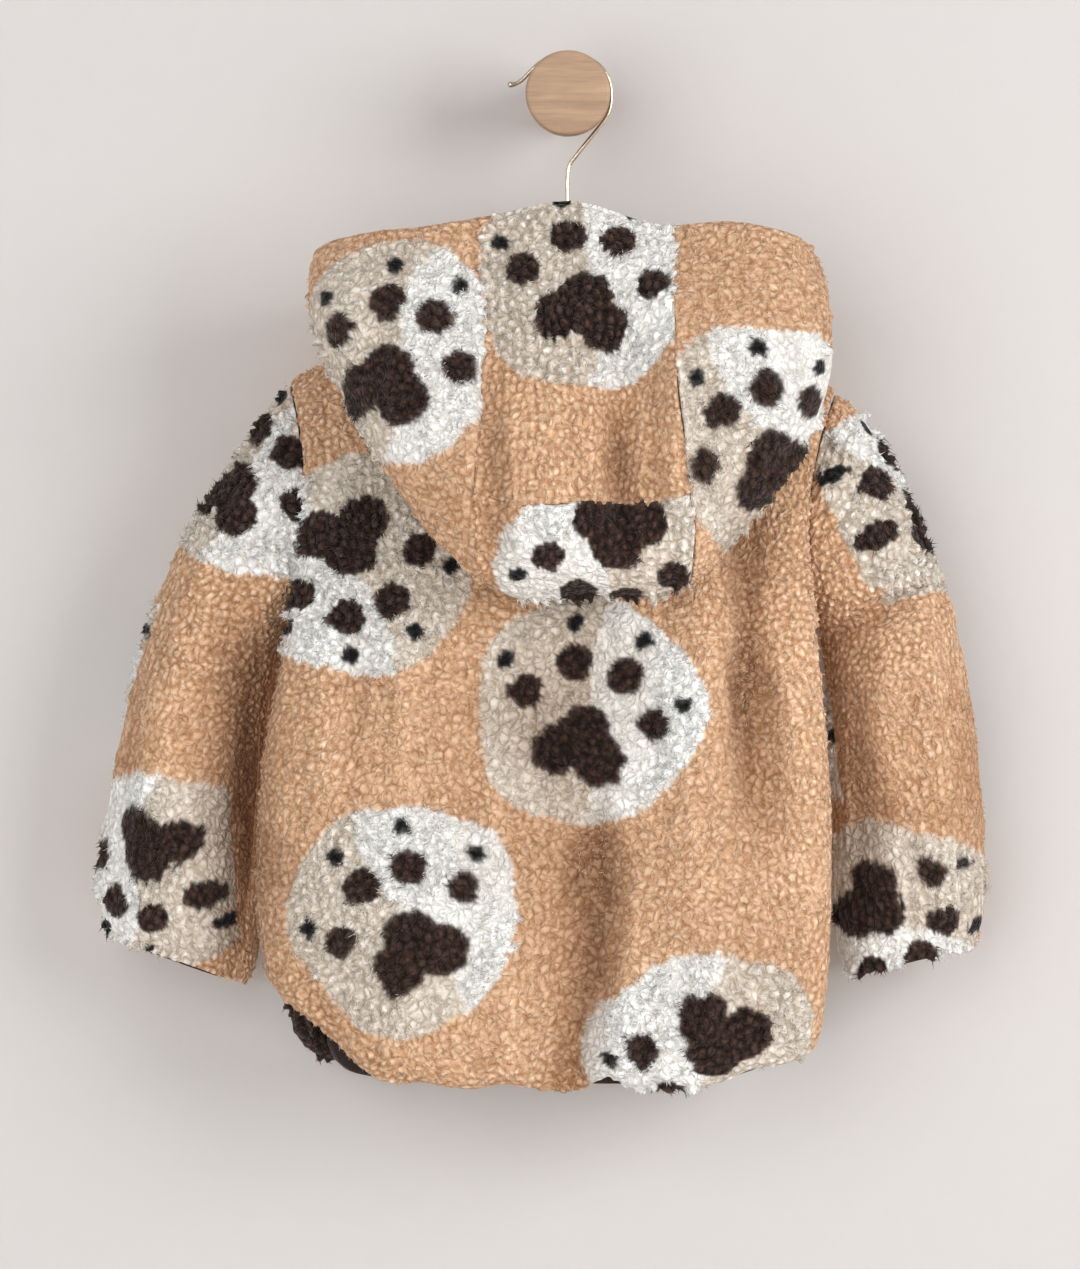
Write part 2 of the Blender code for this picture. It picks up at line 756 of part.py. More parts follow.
def add_panels(collection, panels, material):
    """Add the garment's fleece panels."""
    normals = skin_normals(panels)
    for panel in panels:
        outer = stepped_back(panel.grid, panel.closed)
        inner = stepped_back(inner_grid(panel.grid, normals, FLEECE_WALL), panel.closed)
        add_wall(collection, panel.name, outer, inner, panel.closed, material)


# Elastic bands. A band laps the last millimetres of the fleece that rolls up to it and
# hangs down inside the roll.

BAND_ABOVE_SEAM = 4.0
HEM_BAND_BELOW_SEAM = 14.0
CUFF_BAND_BELOW_SEAM = 13.0
BAND_ROWS = 3


def ring_inward(ring, axis):
    """Return for each point of a ring the direction to its inside, level with the ring."""
    count = len(ring)
    directions = []
    for index, point in enumerate(ring):
        along = ring[(index + 1) % count] - ring[index - 1]
        inward = axis.cross(along).normalized()
        centre = sum(ring, Vector((0, 0, 0))) / count
        if inward.dot(centre - point) < 0:
            inward = -inward
        directions.append(inward)
    return directions


def add_band(collection, name, ring, downward, below, material):
    """Add an elastic band inside a seam ring, hanging along a direction."""
    inward = ring_inward(ring, downward)
    outer = []
    inner = []
    for row in range(BAND_ROWS + 1):
        drop = -BAND_ABOVE_SEAM + (BAND_ABOVE_SEAM + below) * row / BAND_ROWS
        placed = [
            point + side * SEAM_GAP + downward * drop
            for point, side in zip(ring, inward)
        ]
        outer.append(placed)
        inner.append([point + side * BAND_WALL for point, side in zip(placed, inward)])
    add_wall(collection, name, outer, inner, True, material)


def hem_seam_ring():
    """Return the ring of the hem's seam: the back from left to right, then the front."""
    columns = SHOULDER_COLUMNS * 2 + NECK_COLUMNS
    back = [hem_seam_point(column / columns, "back") for column in range(columns)]
    front = [hem_seam_point(1 - column / columns, "front") for column in range(columns)]
    return back + front


def add_bands(collection, material):
    """Add the hem band and the two cuff bands."""
    down = Vector((0, 0, -1))
    add_band(collection, "hem_band", hem_seam_ring(), down, HEM_BAND_BELOW_SEAM, material)
    for name, table in (("cuff_band_left", LEFT_SLEEVE), ("cuff_band_right", RIGHT_SLEEVE)):
        ring = sleeve_grid(table)[-1]
        seam = table[-1]
        across = Vector((seam.out_x - seam.in_x, 0, seam.out_z - seam.in_z)).normalized()
        downward = across.cross(Vector((0, 1, 0)))
        if downward.z > 0:
            downward = -downward
        add_band(collection, name, ring, downward, CUFF_BAND_BELOW_SEAM, material)


# The hanger and the peg.

# The hook's wire as x, z from its ball end: over the top of the peg, round its right side
# with room to spare, back on a slant and down to the arm.
HOOK_PATH = (
    (-34.3, 6.2), (-30.8, 6.0), (-27.0, 7.6), (-22.5, 12.0), (-18.0, 16.6), (-13.0, 20.2),
    (-7.0, 22.0), (0.0, 22.3), (8.0, 21.9), (15.5, 18.9), (20.8, 13.6), (23.8, 7.0),
    (24.6, 0.0), (24.1, -6.0), (22.4, -11.4), (19.2, -16.2), (11.4, -26.0), (3.9, -35.4),
    (1.0, -39.4), (0.0, -43.6), (0.0, -60.0), (0.0, -80.0),
)
HOOK_PARTS = 2
HOOK_BALL_RADII = (0.7, 1.75, 1.3)
HOOK_FOOT_Z = -108.6
ARM_LEFT_X = -122.0
ARM_RIGHT_X = 116.0
ARM_MIDDLE_Z = -111.4


def hook_points():
    """Return the hook's wire as x, z, smooth through its path and down to its foot."""
    path = [Vector(place) for place in HOOK_PATH]
    count = (len(path) - 1) * HOOK_PARTS
    wire = [through_points(path, index / HOOK_PARTS) for index in range(count + 1)]
    return [(place.x, place.y) for place in wire] + [(0.0, HOOK_FOOT_Z)]


def add_wire(collection, name, points, radii, thickness, material):
    """Add a round wire through points as one closed mesh."""
    curve = bpy.data.curves.new(name, "CURVE")
    curve.dimensions = "3D"
    curve.bevel_depth = thickness * MM
    curve.bevel_resolution = 2
    curve.use_fill_caps = True
    wire = curve.splines.new("POLY")
    wire.points.add(len(points) - 1)
    for place, point, radius in zip(wire.points, points, radii):
        place.co = (*(Vector(point) * MM), 1.0)
        place.radius = radius
    item = bpy.data.objects.new(name + "_path", curve)
    collection.objects.link(item)
    bpy.context.view_layer.update()
    evaluated = item.evaluated_get(bpy.context.evaluated_depsgraph_get())
    mesh = bpy.data.meshes.new_from_object(evaluated)
    bpy.data.objects.remove(item, do_unlink=True)
    weld_mesh(mesh)
    mesh.materials.clear()
    add_mesh_object(collection, name, mesh, material)


def weld_mesh(mesh):
    """Weld a mesh's coinciding points and face it outwards."""
    shape = bmesh.new()
    shape.from_mesh(mesh)
    bmesh.ops.remove_doubles(shape, verts=shape.verts, dist=1e-6)
    bmesh.ops.recalc_face_normals(shape, faces=shape.faces)
    shape.to_mesh(mesh)
    shape.free()


def add_hanger(collection, material):
    """Add the hanger's hook and its arm."""
    hook = [(x, HOOK_PLANE_Y, z) for x, z in hook_points()]
    radii = list(HOOK_BALL_RADII) + [1.0] * (len(hook) - len(HOOK_BALL_RADII))
    add_wire(collection, "hanger_hook", hook, radii, WIRE_RADIUS, material)
    arm = arm_points()
    add_wire(collection, "hanger_arm", arm, [1.0] * len(arm), ARM_RADIUS, material)


def arm_points():
    """Return the hanger's arm, just under the insides of the two shoulders."""
    under = FLEECE_WALL + SEAM_GAP + ARM_RADIUS + 1.6
    left_tip = sleeve_point(LEFT_SLEEVE, 0, 0)
    right_tip = sleeve_point(RIGHT_SLEEVE, 0, 0)
    neck_z = neck_point(90).z
    points = []
    for x, tip in ((ARM_LEFT_X, left_tip), (0.0, None), (ARM_RIGHT_X, right_tip)):
        if tip is None:
            points += [(-10.0, ARM_MIDDLE_Z - 2.2), (0.0, ARM_MIDDLE_Z), (10.0, ARM_MIDDLE_Z - 2.2)]
            continue
        neck_x = math.copysign(NECK_HALF_WIDTH, x)
        slope = (tip.z - neck_z) / (tip.x - neck_x)
        near = (neck_x, neck_z - under)
        far = (x, neck_z + slope * (x - neck_x) - under)
        points += [far, near] if x < 0 else [near, far]
    return [(x, NECK_MIDDLE_Y - 2.0, z) for x, z in points]


def add_peg(collection, material):
    """Add the turned peg: a rounded head, a seat for the hook and a stem tapering to the wall."""
    head_start = PEG_LENGTH - PEG_HEAD_THICKNESS
    rounding = 3.0
    profile = [(0.0, PEG_LENGTH)]
    for step in range(5):
        turn = math.radians(90 - 22.5 * step)
        centre = (PEG_HEAD_RADIUS - rounding, PEG_LENGTH - rounding)
        profile.append((centre[0] + rounding * math.cos(turn), centre[1] + rounding * math.sin(turn)))
    profile.append((PEG_HEAD_RADIUS, head_start + 1.0))
    profile.append((PEG_HEAD_RADIUS - 1.0, head_start))
    profile.append((PEG_SEAT_RADIUS, head_start))
    profile.append((PEG_SEAT_RADIUS, head_start - PEG_SEAT_LENGTH))
    profile.append((PEG_FOOT_RADIUS, 0.0))
    profile.append((0.0, 0.0))
    mesh = bpy.data.meshes.new("peg")
    points = [(x * MM, 0.0, z * MM) for x, z in profile]
    mesh.from_pydata(points, [(index, index + 1) for index in range(len(points) - 1)], [])
    peg = bpy.data.objects.new("peg", mesh)
    mesh.materials.append(material)
    collection.objects.link(peg)
    screw = peg.modifiers.new("turned", "SCREW")
    screw.steps = 40
    screw.render_steps = 40
    screw.use_merge_vertices = True
    screw.merge_threshold = 0.00001
    screw.use_smooth_shade = True
    peg.rotation_euler = (math.radians(90), 0.0, 0.0)


def main():
    """Build the jacket, its hanger and the peg."""
    remove_old_objects()
    collection = new_collection("hooded_fleece_jacket")
    fleece = principled("camel_fleece")
    elastic = principled("brown_elastic")
    metal = principled("pale_metal")
    wood = principled("beech_wood")
    add_panels(collection, garment_panels(), fleece)
    add_bands(collection, elastic)
    add_hanger(collection, metal)
    add_peg(collection, wood)


main()
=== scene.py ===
import math

import bmesh
import bpy
import numpy as np
from mathutils import Matrix, Vector
from mathutils.bvhtree import BVHTree
from mathutils.kdtree import KDTree


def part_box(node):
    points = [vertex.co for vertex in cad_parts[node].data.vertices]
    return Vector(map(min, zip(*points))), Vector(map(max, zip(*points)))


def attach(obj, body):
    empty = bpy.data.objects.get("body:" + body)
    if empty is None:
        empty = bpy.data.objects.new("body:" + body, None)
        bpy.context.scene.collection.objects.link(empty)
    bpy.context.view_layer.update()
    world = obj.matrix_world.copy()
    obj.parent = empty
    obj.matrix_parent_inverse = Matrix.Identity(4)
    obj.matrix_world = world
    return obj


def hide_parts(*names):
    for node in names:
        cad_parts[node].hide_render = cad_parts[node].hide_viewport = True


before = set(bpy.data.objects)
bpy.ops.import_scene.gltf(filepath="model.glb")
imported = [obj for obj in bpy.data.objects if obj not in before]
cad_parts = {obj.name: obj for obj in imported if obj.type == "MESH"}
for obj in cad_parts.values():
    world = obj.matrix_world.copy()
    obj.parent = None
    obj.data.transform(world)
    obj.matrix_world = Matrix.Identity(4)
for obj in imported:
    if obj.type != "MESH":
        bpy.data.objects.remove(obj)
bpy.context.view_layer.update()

bpy.ops.object.select_all(action="DESELECT")

# Back panel. Borg fleece: a knitted backing with a curly pile on its right side, cut with
# dropped shoulders and printed with tossed paw roundels. It is made from the wall of its
# own solid, which is smoothed, creased, raised into tufts and given loose fibres.

CLOTH_NODES = (
    "back", "front", "sleeve_left", "sleeve_right", "hood_left", "hood_right",
    "hood_nape", "hood_crown", "hem_band", "cuff_band_left", "cuff_band_right",
)
PILE, BACKING, CUT_EDGE = 0, 1, 2
# Cloth before the hanger's arm belongs to the jacket's back, and cloth behind it to its front.
HANGER_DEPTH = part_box("hanger_arm")[0].y


def surface_tree(node):
    """Return a search tree of a solid's surface."""
    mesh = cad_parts[node].data
    mesh.calc_loop_triangles()
    corners = [vertex.co.copy() for vertex in mesh.vertices]
    return BVHTree.FromPolygons(corners, [tuple(face.vertices) for face in mesh.loop_triangles])


cloth_trees = {node: surface_tree(node) for node in CLOTH_NODES}

# A sewn edge lies nearer than this gap to the next panel, and sees it this far ahead, in m.
SEAM_GAP = 0.0015
SEAM_SIGHT = 0.0018


def gap_to_others(point, node):
    """Return how far a point is from the nearest other cloth solid."""
    gaps = [tree.find_nearest(point)[3] for name, tree in cloth_trees.items() if name != node]
    return min(gaps)


def faces_a_seam(face, node):
    """Return whether a face looks straight at another cloth solid, a seam's width away."""
    middle = face.calc_center_median()
    for name, tree in cloth_trees.items():
        if name != node and tree.ray_cast(middle, face.normal, SEAM_SIGHT)[0] is not None:
            return True
    return False


# A panel's two sides turn less than this between faces, and lie at most so many times its
# thickness apart. A face beside them carries a side on if the two normals' product is above it.
SIDE_TURN = math.radians(76)
SIDE_DEPTH = 1.6
SAME_SIDE = 0.64
# A cut edge turns more than this at its corners.
CORNER_TURN = math.radians(40)


def smooth_groups(faces):
    """Return groups of faces that join edge to edge with no sharp turn, the largest first."""
    left = set(faces)
    groups = []
    while left:
        group = [left.pop()]
        for face in group:
            for edge in face.edges:
                if edge.calc_face_angle(math.pi) < SIDE_TURN:
                    reached = left.intersection(edge.link_faces)
                    left -= reached
                    group += list(reached)
        groups.append(group)
    return sorted(groups, key=lambda group: -sum(face.calc_area() for face in group))


def side_faces(shape, node, thickness):
    """Return the faces that have the wall's other side straight behind them."""
    tree = BVHTree.FromBMesh(shape)
    sides = []
    for face in shape.faces:
        # It looks inward from just under the face.
        start = face.calc_center_median() - face.normal * 0.0001
        depth = tree.ray_cast(start, -face.normal)[3]
        if depth is not None and depth < thickness * SIDE_DEPTH and not faces_a_seam(face, node):
            sides.append(face)
    return sides


def spread_sides(shape):
    """Let each side take in the unmarked faces that carry on its curve."""
    spreading = True
    while spreading:
        spreading = False
        for face in shape.faces:
            beside = [
                other.material_index for edge in face.edges for other in edge.link_faces
                if other.material_index != CUT_EDGE and other.normal.dot(face.normal) > SAME_SIDE
            ]
            if beside and face.material_index == CUT_EDGE:
                face.material_index = beside[0]
                spreading = True


def sort_layers(shape, node, thickness):
    """Mark each face as the pile's side, the backing or a cut edge."""
    for face in shape.faces:
        face.material_index = CUT_EDGE
    # The pile is on the larger side, or where the two are alike, on the one that looks backward.
    groups = smooth_groups(side_faces(shape, node, thickness))
    areas = [sum(face.calc_area() for face in group) for group in groups[:2]]
    backward = [-sum(face.calc_area() * face.normal.y for face in group) for group in groups[:2]]
    alike = areas[0] < areas[1] * 1.02
    outer = int(backward[1] > backward[0]) if alike else 0
    for slot, group in ((PILE, groups[outer]), (BACKING, groups[1 - outer])):
        for face in group:
            face.material_index = slot
    spread_sides(shape)
    # The pile also turns over the hood's free edges, which no seam holds.
    for face in shape.faces:
        if face.material_index == CUT_EDGE and node.startswith("hood"):
            if gap_to_others(face.calc_center_median(), node) > SEAM_GAP:
                face.material_index = PILE


def keep_cut_corners(shape):
    """Crease the edges where a cut edge turns, so that smoothing leaves the seams in place."""
    crease = shape.edges.layers.float.new("crease_edge")
    for edge in shape.edges:
        slots = {face.material_index for face in edge.link_faces}
        sharp = edge.calc_face_angle(0.0) > CORNER_TURN
        if CUT_EDGE in slots and (len(slots) > 1 or sharp):
            edge[crease] = 1.0


def new_piece(name, data):
    """Return a new object of a mesh, a lamp or a lens, put into the scene."""
    piece = bpy.data.objects.new(name, data)
    bpy.context.scene.collection.objects.link(piece)
    return piece


def round_off(piece):
    """Divide a piece into rounded faces, and apply this and the modifiers before it."""
    rounding = piece.modifiers.new("rounding", "SUBSURF")
    rounding.levels = 2
    rounding.render_levels = 2
    bpy.ops.object.select_all(action="DESELECT")
    bpy.context.view_layer.objects.active = piece
    piece.select_set(True)
    for modifier in list(piece.modifiers):
        bpy.ops.object.modifier_apply(modifier=modifier.name)
    piece.select_set(False)


# Corners of a solid's loose triangles that lie this near are one point, in m.
SAME_POINT = 2e-6


def cloth_copy(name, node, thickness):
    """Return a smoothed copy of a cloth solid, with its faces sorted into layers."""
    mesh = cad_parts[node].data.copy()
    mesh.materials.clear()
    piece = new_piece(name, mesh)
    shape = bmesh.new()
    shape.from_mesh(mesh)
    bmesh.ops.remove_doubles(shape, verts=shape.verts[:], dist=SAME_POINT)
    sort_layers(shape, node, thickness)
    bmesh.ops.join_triangles(
        shape, faces=shape.faces[:], cmp_materials=True,
        angle_face_threshold=math.radians(70), angle_shape_threshold=math.radians(100),
    )
    keep_cut_corners(shape)
    shape.to_mesh(mesh)
    shape.free()
    round_off(piece)
    return piece


def ease(share):
    """Return shares from 0 to 1, eased at both ends."""
    return share * share * (3 - 2 * share)


def drift(points, size, seed):
    """Return smooth noise from -1 to 1 at points, in lumps of about a size."""
    place = points / size + seed * 7.31
    corner = np.floor(place).astype(np.int64)
    share = ease(place - corner)
    total = np.zeros(len(points))
    for step in np.array([(x, y, z) for x in (0, 1) for y in (0, 1) for z in (0, 1)]):
        # Large primes scatter each corner of the grid to a number of its own.
        key = (corner + step) @ np.array((73856093, 19349663, 83492791)) + seed * 7919
        key = (key ^ (key >> 13)) * 1274126177
        key = (key ^ (key >> 16)) & 0xFFFF
        weight = np.prod(np.where(step, share, 1 - share), axis=1)
        total += weight * (key / 32767.5 - 1)
    return total


def drift_ways(points, size, seed):
    """Return three kinds of drift side by side, as a vector at each point."""
    return np.stack([drift(points, size, seed + axis) for axis in (0, 1, 2)], axis=1)


def unit(vectors):
    """Return vectors scaled to a length of 1."""
    return vectors / np.maximum(np.linalg.norm(vectors, axis=-1, keepdims=True), 1e-12)


def read_values(items, name, width=1, kind=float):
    """Return a value of each point, edge, corner or face; a vector's values stand side by side."""
    values = np.empty(len(items) * width, kind)
    items.foreach_get(name, values)
    return values.reshape(-1, width) if width > 1 else values


def mesh_arrays(mesh):
    """Return a mesh's points, its faces' corners, starts and counts, and their slots."""
    points = read_values(mesh.vertices, "co", width=3)
    corners = read_values(mesh.loops, "vertex_index", kind=int)
    starts = read_values(mesh.polygons, "loop_start", kind=int)
    counts = read_values(mesh.polygons, "loop_total", kind=int)
    slots = read_values(mesh.polygons, "material_index", kind=int)
    return points, corners, starts, counts, slots


# A millimetre, in m.
MM = 0.001

# The creases pressed in, in mm: the side they are seen from, where each starts and
# ends (across and height), half its width, and its depth; a ridge has a depth below 0.
CREASES = (
    ("back", 97, -226, 107, -416, 19, 13.5),
    ("back", 70, -238, 78, -390, 15, -5.6),
    ("back", 128, -240, 137, -456, 15, -7.4),
    ("back", 54, -262, 66, -350, 12, 3.4),
    ("back", 19, -384, -6, -588, 23, 15.0),
    ("back", -36, -458, -31, -556, 14, -5.4),
    ("back", 40, -448, 29, -562, 13, -5.2),
    ("back", 0, -286, 0, -452, 62, 10.5),
    ("back", 46, -168, 49, -240, 9, 3.4),
    ("back", 57, -150, 60, -238, 9, -5.2),
    ("back", -134, -300, -140, -430, 12, -4.1),
    ("back", -116, -310, -124, -400, 9, 3.1),
    ("back", -150, -492, -122, -540, 12, 3.4),
    ("back", 96, -462, 90, -548, 12, 3.7),
    ("back", 40, -300, 36, -356, 10, 2.7),
    ("back", 144, -311, 198, -278, 9, 9.5),
    ("back", 152, -290, 204, -264, 10, -5.1),
    ("back", 160, -306, 168, -474, 20, 11.0),
    ("back", 204, -308, 217, -454, 16, -5.4),
    ("back", 190, -420, 196, -490, 9, 3.1),
    ("back", -184, -284, -178, -486, 33, 16.0),
    ("back", -226, -306, -240, -444, 17, -4.4),
    ("back", -246, -360, -252, -452, 9, 2.7),
    ("back", -214, -462, -208, -494, 9, 2.7),
    ("back", -45, -158, -38, -268, 14, 11.5),
    ("back", -10, -172, -6, -244, 13, -5.6),
    ("back", 26, -170, 29, -250, 14, 12.0),
    ("back", -104, -118, -112, -178, 9, 2.4),
    ("back", 118, -120, 128, -176, 10, 2.4),
    ("front", -86, -250, -96, -420, 13, 5.4),
    ("front", -52, -300, -58, -470, 12, -4.4),
    ("front", 58, -270, 70, -440, 14, 5.8),
    ("front", 94, -300, 100, -410, 9, -4.1),
    ("front", 4, -440, -2, -540, 20, 6.1),
    ("front", 168, -300, 204, -282, 7, 5.8),
    ("front", -182, -304, -222, -290, 7, 5.1),
    ("front", 186, -340, 194, -450, 11, 4.4),
    ("front", -212, -336, -222, -452, 12, -4.1),
)
# A crease works on the cloth that lies this near the first wall met from its side, in m.
FIRST_WALL = 0.009

# Where the back's hem hangs lower, or is drawn up: across, half the width and the drop, in mm.
HEM_LINE = (
    (-110, 32, 9.0),
    (-36, 18, -3.6),
    (-3, 14, 2.0),
    (23, 15, -7.5),
    (104, 26, -4.5),
)
# The heights between which the hem's drop sets in, in m.
HEM_REACH = (-0.49, -0.555)


def hang_hem(points):
    """Return points with those beside the back's hem let down or drawn up along it."""
    low = np.clip((points[:, 2] - HEM_REACH[0]) / (HEM_REACH[1] - HEM_REACH[0]), 0, 1)
    low = np.where(points[:, 1] < HANGER_DEPTH, ease(low), 0)
    hung = points.copy()
    for across, half_width, drop in HEM_LINE:
        share = np.clip(np.abs(points[:, 0] * 1000 - across) / half_width, 0, 1)
        hung[:, 2] -= drop * MM * np.cos(share * np.pi / 2) ** 2 * low
    return hung


def crease_push(points, row, ends, half_width, depth):
    """Return the points that a crease reaches, and how far it presses each of them."""
    start, end = np.array(ends[:2]) * MM, np.array(ends[2:]) * MM
    line = end - start
    flat = points[:, (0, 2)]
    along = np.clip((flat - start) @ line / (line @ line), 0, 1)
    # Its border wanders and its depth drifts, so that no two creases look alike.
    wander = drift(points, 0.045, row + 60) * half_width * 0.3 * MM
    beside = np.linalg.norm(flat - start - along[:, None] * line, axis=1) + wander
    near = np.flatnonzero(beside < half_width * MM)
    uneven = 0.75 + 0.35 * drift(points[near], 0.05, row + 20)
    taper = np.sin(np.pi * np.clip(along[near] * 0.86 + 0.07, 0, 1)) ** 0.7
    profile = np.cos(beside[near] / (half_width * MM) * np.pi / 2) ** 2
    return near, profile * depth * MM * uneven * taper


def piece_tree(piece):
    """Return a search tree of a piece's surface as it is now."""
    shape = bmesh.new()
    shape.from_mesh(piece.data)
    tree = BVHTree.FromBMesh(shape)
    shape.free()
    return tree


def press_creases(piece):
    """Press the creases into the wall that faces the side they are seen from."""
    points = read_values(piece.data.vertices, "co", width=3)
    tree = piece_tree(piece)
    moved = points.copy()
    for row, (side, *ends, half_width, depth) in enumerate(CREASES):
        inward = 1.0 if side == "back" else -1.0
        for index, push in zip(*crease_push(points, row, ends, half_width, depth)):
            x, y, z = points[index]
            first = tree.ray_cast(Vector((x, -inward, z)), Vector((0, inward, 0)))[0]
            if first is None or abs(first.y - y) < FIRST_WALL:
                moved[index, 1] += inward * push
    # The elastic follows the back's hem.
    if piece.name.startswith(("back", "hem")):
        moved = hang_hem(moved)
    piece.data.vertices.foreach_set("co", moved.ravel())
    # How deep each point is pressed in, for the painted shade in the pile's creases and the painted
    # highlight on its ridges.
    pressed = piece.data.attributes.new("pressed", "FLOAT", "POINT")
    pressed.data.foreach_set("value", (moved - points)[:, 1] * np.where(points[:, 1] < HANGER_DEPTH, 1, -1))
    piece.data.update()


def subdivide_pile(piece, cuts):
    """Divide the pile's side finely enough for its tufts."""
    shape = bmesh.new()
    shape.from_mesh(piece.data)
    edges = [
        edge for edge in shape.edges
        if any(face.material_index == PILE for face in edge.link_faces)
    ]
    bmesh.ops.subdivide_edges(shape, edges=edges, cuts=cuts, use_grid_fill=True)
    large = [face for face in shape.faces if len(face.verts) > 4]
    bmesh.ops.triangulate(shape, faces=large)
    shape.to_mesh(piece.data)
    shape.free()


def pile_normals(mesh):
    """Return what the pile stands on: each point's way outward and its way over a cut edge,
    which points lie on the pile's side and which on the rest, and its faces' middles and normals."""
    points, corners, starts, counts, slots = mesh_arrays(mesh)
    normals = read_values(mesh.polygons, "normal", width=3)
    areas = read_values(mesh.polygons, "area")
    owner = np.repeat(np.arange(len(starts)), counts)
    with_pile = slots[owner] == PILE
    total = np.zeros_like(points)
    np.add.at(total, corners[with_pile], (normals * areas[:, None])[owner[with_pile]])
    outward = unit(total)
    aside = np.zeros_like(points)
    np.add.at(aside, corners[~with_pile], (normals * areas[:, None])[owner[~with_pile]])
    aside = unit(aside - outward * np.sum(aside * outward, axis=1)[:, None])
    middles = np.add.reduceat(points[corners], starts) / counts[:, None]
    covered = np.zeros(len(points), bool)
    covered[corners[with_pile]] = True
    bare = np.zeros(len(points), bool)
    bare[corners[~with_pile]] = True
    return outward, aside, covered, bare, middles[slots == PILE], normals[slots == PILE]


def tuft_roots(points, spacing, random):
    """Pick points that are at least their spacing apart, in a chance order."""
    cells = {}
    roots = []
    around = [(x, y, z) for x in (-1, 0, 1) for y in (-1, 0, 1) for z in (-1, 0, 1)]
    places = np.floor(points / spacing.max()).astype(int).tolist()
    spots = points.tolist()
    least = (spacing * spacing).tolist()
    for index in random.permutation(len(points)).tolist():
        i, j, k = places[index]
        x, y, z = spots[index]
        near = any(
            (u - x) ** 2 + (v - y) ** 2 + (w - z) ** 2 < least[index]
            for a, b, c in around for u, v, w in cells.get((i + a, j + b, k + c), ())
        )
        if not near:
            cells.setdefault((i, j, k), []).append((x, y, z))
            roots.append(index)
    return np.array(sorted(roots))


def swatch(red, green, blue):
    """Return a swatch's red, green and blue, from 0 to 255, as linear light."""
    shares = np.array((red, green, blue)) / 255
    return np.where(shares > 0.04045, ((shares + 0.055) / 1.055) ** 2.4, shares / 12.92)


# The print's inks, camel first: the colour at a tuft's tip, and at its root, where it is darker
# as painted shade between the tufts; how far apart the tufts stand and how long they and the
# loose fibres are, in m; and how many fibres stand loose for each one of the camel's.
INKS = (
    (swatch(245, 212, 181), swatch(184, 139, 101), 0.0036, 0.0018, 0.0026, 1.0),
    (swatch(240, 232, 222), swatch(196, 182, 164), 0.0050, 0.0034, 0.0036, 1.6),
    (swatch(252, 252, 250), swatch(230, 227, 220), 0.0052, 0.0038, 0.0038, 2.2),
    (swatch(88, 66, 57), swatch(26, 15, 11), 0.0045, 0.0038, 0.0042, 1.9),
    (swatch(38, 38, 39), swatch(10, 10, 11), 0.0040, 0.0030, 0.0032, 1.3),
)
CAMEL, CREAM, WHITE, BROWN, BLACK = range(len(INKS))
INK_TIPS, INK_PAINTED_ROOT_SHADES, INK_SPACING, INK_PILE, INK_FIBRE, INK_FUZZ = map(np.array, zip(*INKS))

# How much painted shade a crease lays on the pile for each metre of its depth, and how warmly:
# the powers of the painted shade for red, green and blue; then the darkest painted shade and
# the brightest painted highlight, which a ridge gets.
CREASE_PAINTED_SHADE = 42
CREASE_PAINTED_SHADE_WARMTH = np.array((0.9, 1.08, 1.22))
CREASE_PAINTED_SHADE_LIMITS = (0.46, 1.12)
BARE_YARN = swatch(190, 150, 118)

# One tossed paw in its roundel, with the roundel's radius as 1: the pad's three lobes, the
# toes and the claws, each as x, y, radius and ink.
PAW_PARTS = (
    (0.0, -0.20, 0.25, BROWN), (-0.20, -0.40, 0.23, BROWN), (0.20, -0.40, 0.23, BROWN),
    (-0.58, 0.03, 0.15, BROWN), (-0.22, 0.38, 0.165, BROWN),
    (0.22, 0.38, 0.165, BROWN), (0.58, 0.03, 0.15, BROWN),
    (-0.80, 0.26, 0.075, BLACK), (-0.31, 0.72, 0.08, BLACK),
    (0.31, 0.72, 0.08, BLACK), (0.80, 0.26, 0.075, BLACK),
)


def roundel_inks(x, y):
    """Return the ink at places on a roundel, and which places lie on it."""
    turn = np.arctan2(y, x)
    # Its outline is a little lobed, and a wavy line parts its cream half from its white one.
    on_it = np.hypot(x, y) < 1 + 0.04 * np.sin(3 * turn + 1) + 0.03 * np.sin(5 * turn)
    inks = np.where(x + 0.16 * np.sin(2.6 * y) < 0.05, CREAM, WHITE)
    for part_x, part_y, radius, ink in PAW_PARTS:
        inks[np.hypot(x - part_x, y - part_y) < radius] = ink
    return inks, on_it


def print_frames(piece, prints):
    """Return where each print lies on a piece: its middle, across, up, out and size."""
    tree = piece_tree(piece)
    frames = []
    for side, across, height, turn, radius in prints:
        away = Vector((0, 1 if side == "back" else -1, 0))
        start = Vector((across * MM, 0.0, height * MM)) - away
        spot, out = tree.ray_cast(start, away)[:2]
        if spot is None:
            continue
        up = (Vector((0, 0, 1)) - out * out.z).normalized()
        right = up.cross(out)
        lean = math.radians(turn)
        up_turned = up * math.cos(lean) + right * math.sin(lean)
        frames.append((spot, up_turned.cross(out), up_turned, out, radius * MM))
    return frames


def print_inks(places, frames):
    """Return the ink that the print gives to each place."""
    inks = np.full(len(places), CAMEL)
    for spot, across, up, out, radius in frames:
        offset = places - np.array(spot)
        depth = np.abs(offset @ np.array(out))
        found, on_it = roundel_inks(offset @ np.array(across) / radius, offset @ np.array(up) / radius)
        # A print stays on the side of the panel that it is seen from.
        on_it &= depth < 0.6 * radius
        inks[on_it] = found[on_it]
    return inks


# How far out a tuft's room is looked for, in m.
FAR = 0.05


def open_reach(roots, normals):
    """Return how far each tuft can grow before it meets the wall or other cloth, up to FAR."""
    reach = np.full(len(roots), FAR)
    for index, (root, normal) in enumerate(zip(roots, normals)):
        out = Vector(normal)
        # It looks from just outside the cloth, and the wall is where y is 0.
        start = Vector(root) + out * 0.0006
        if out.y > 0:
            reach[index] = min(reach[index], max(-start.y / out.y, 0))
        for tree in cloth_trees.values():
            distance = tree.ray_cast(start, out, FAR)[3]
            if distance is not None:
                reach[index] = min(reach[index], distance)
    return reach


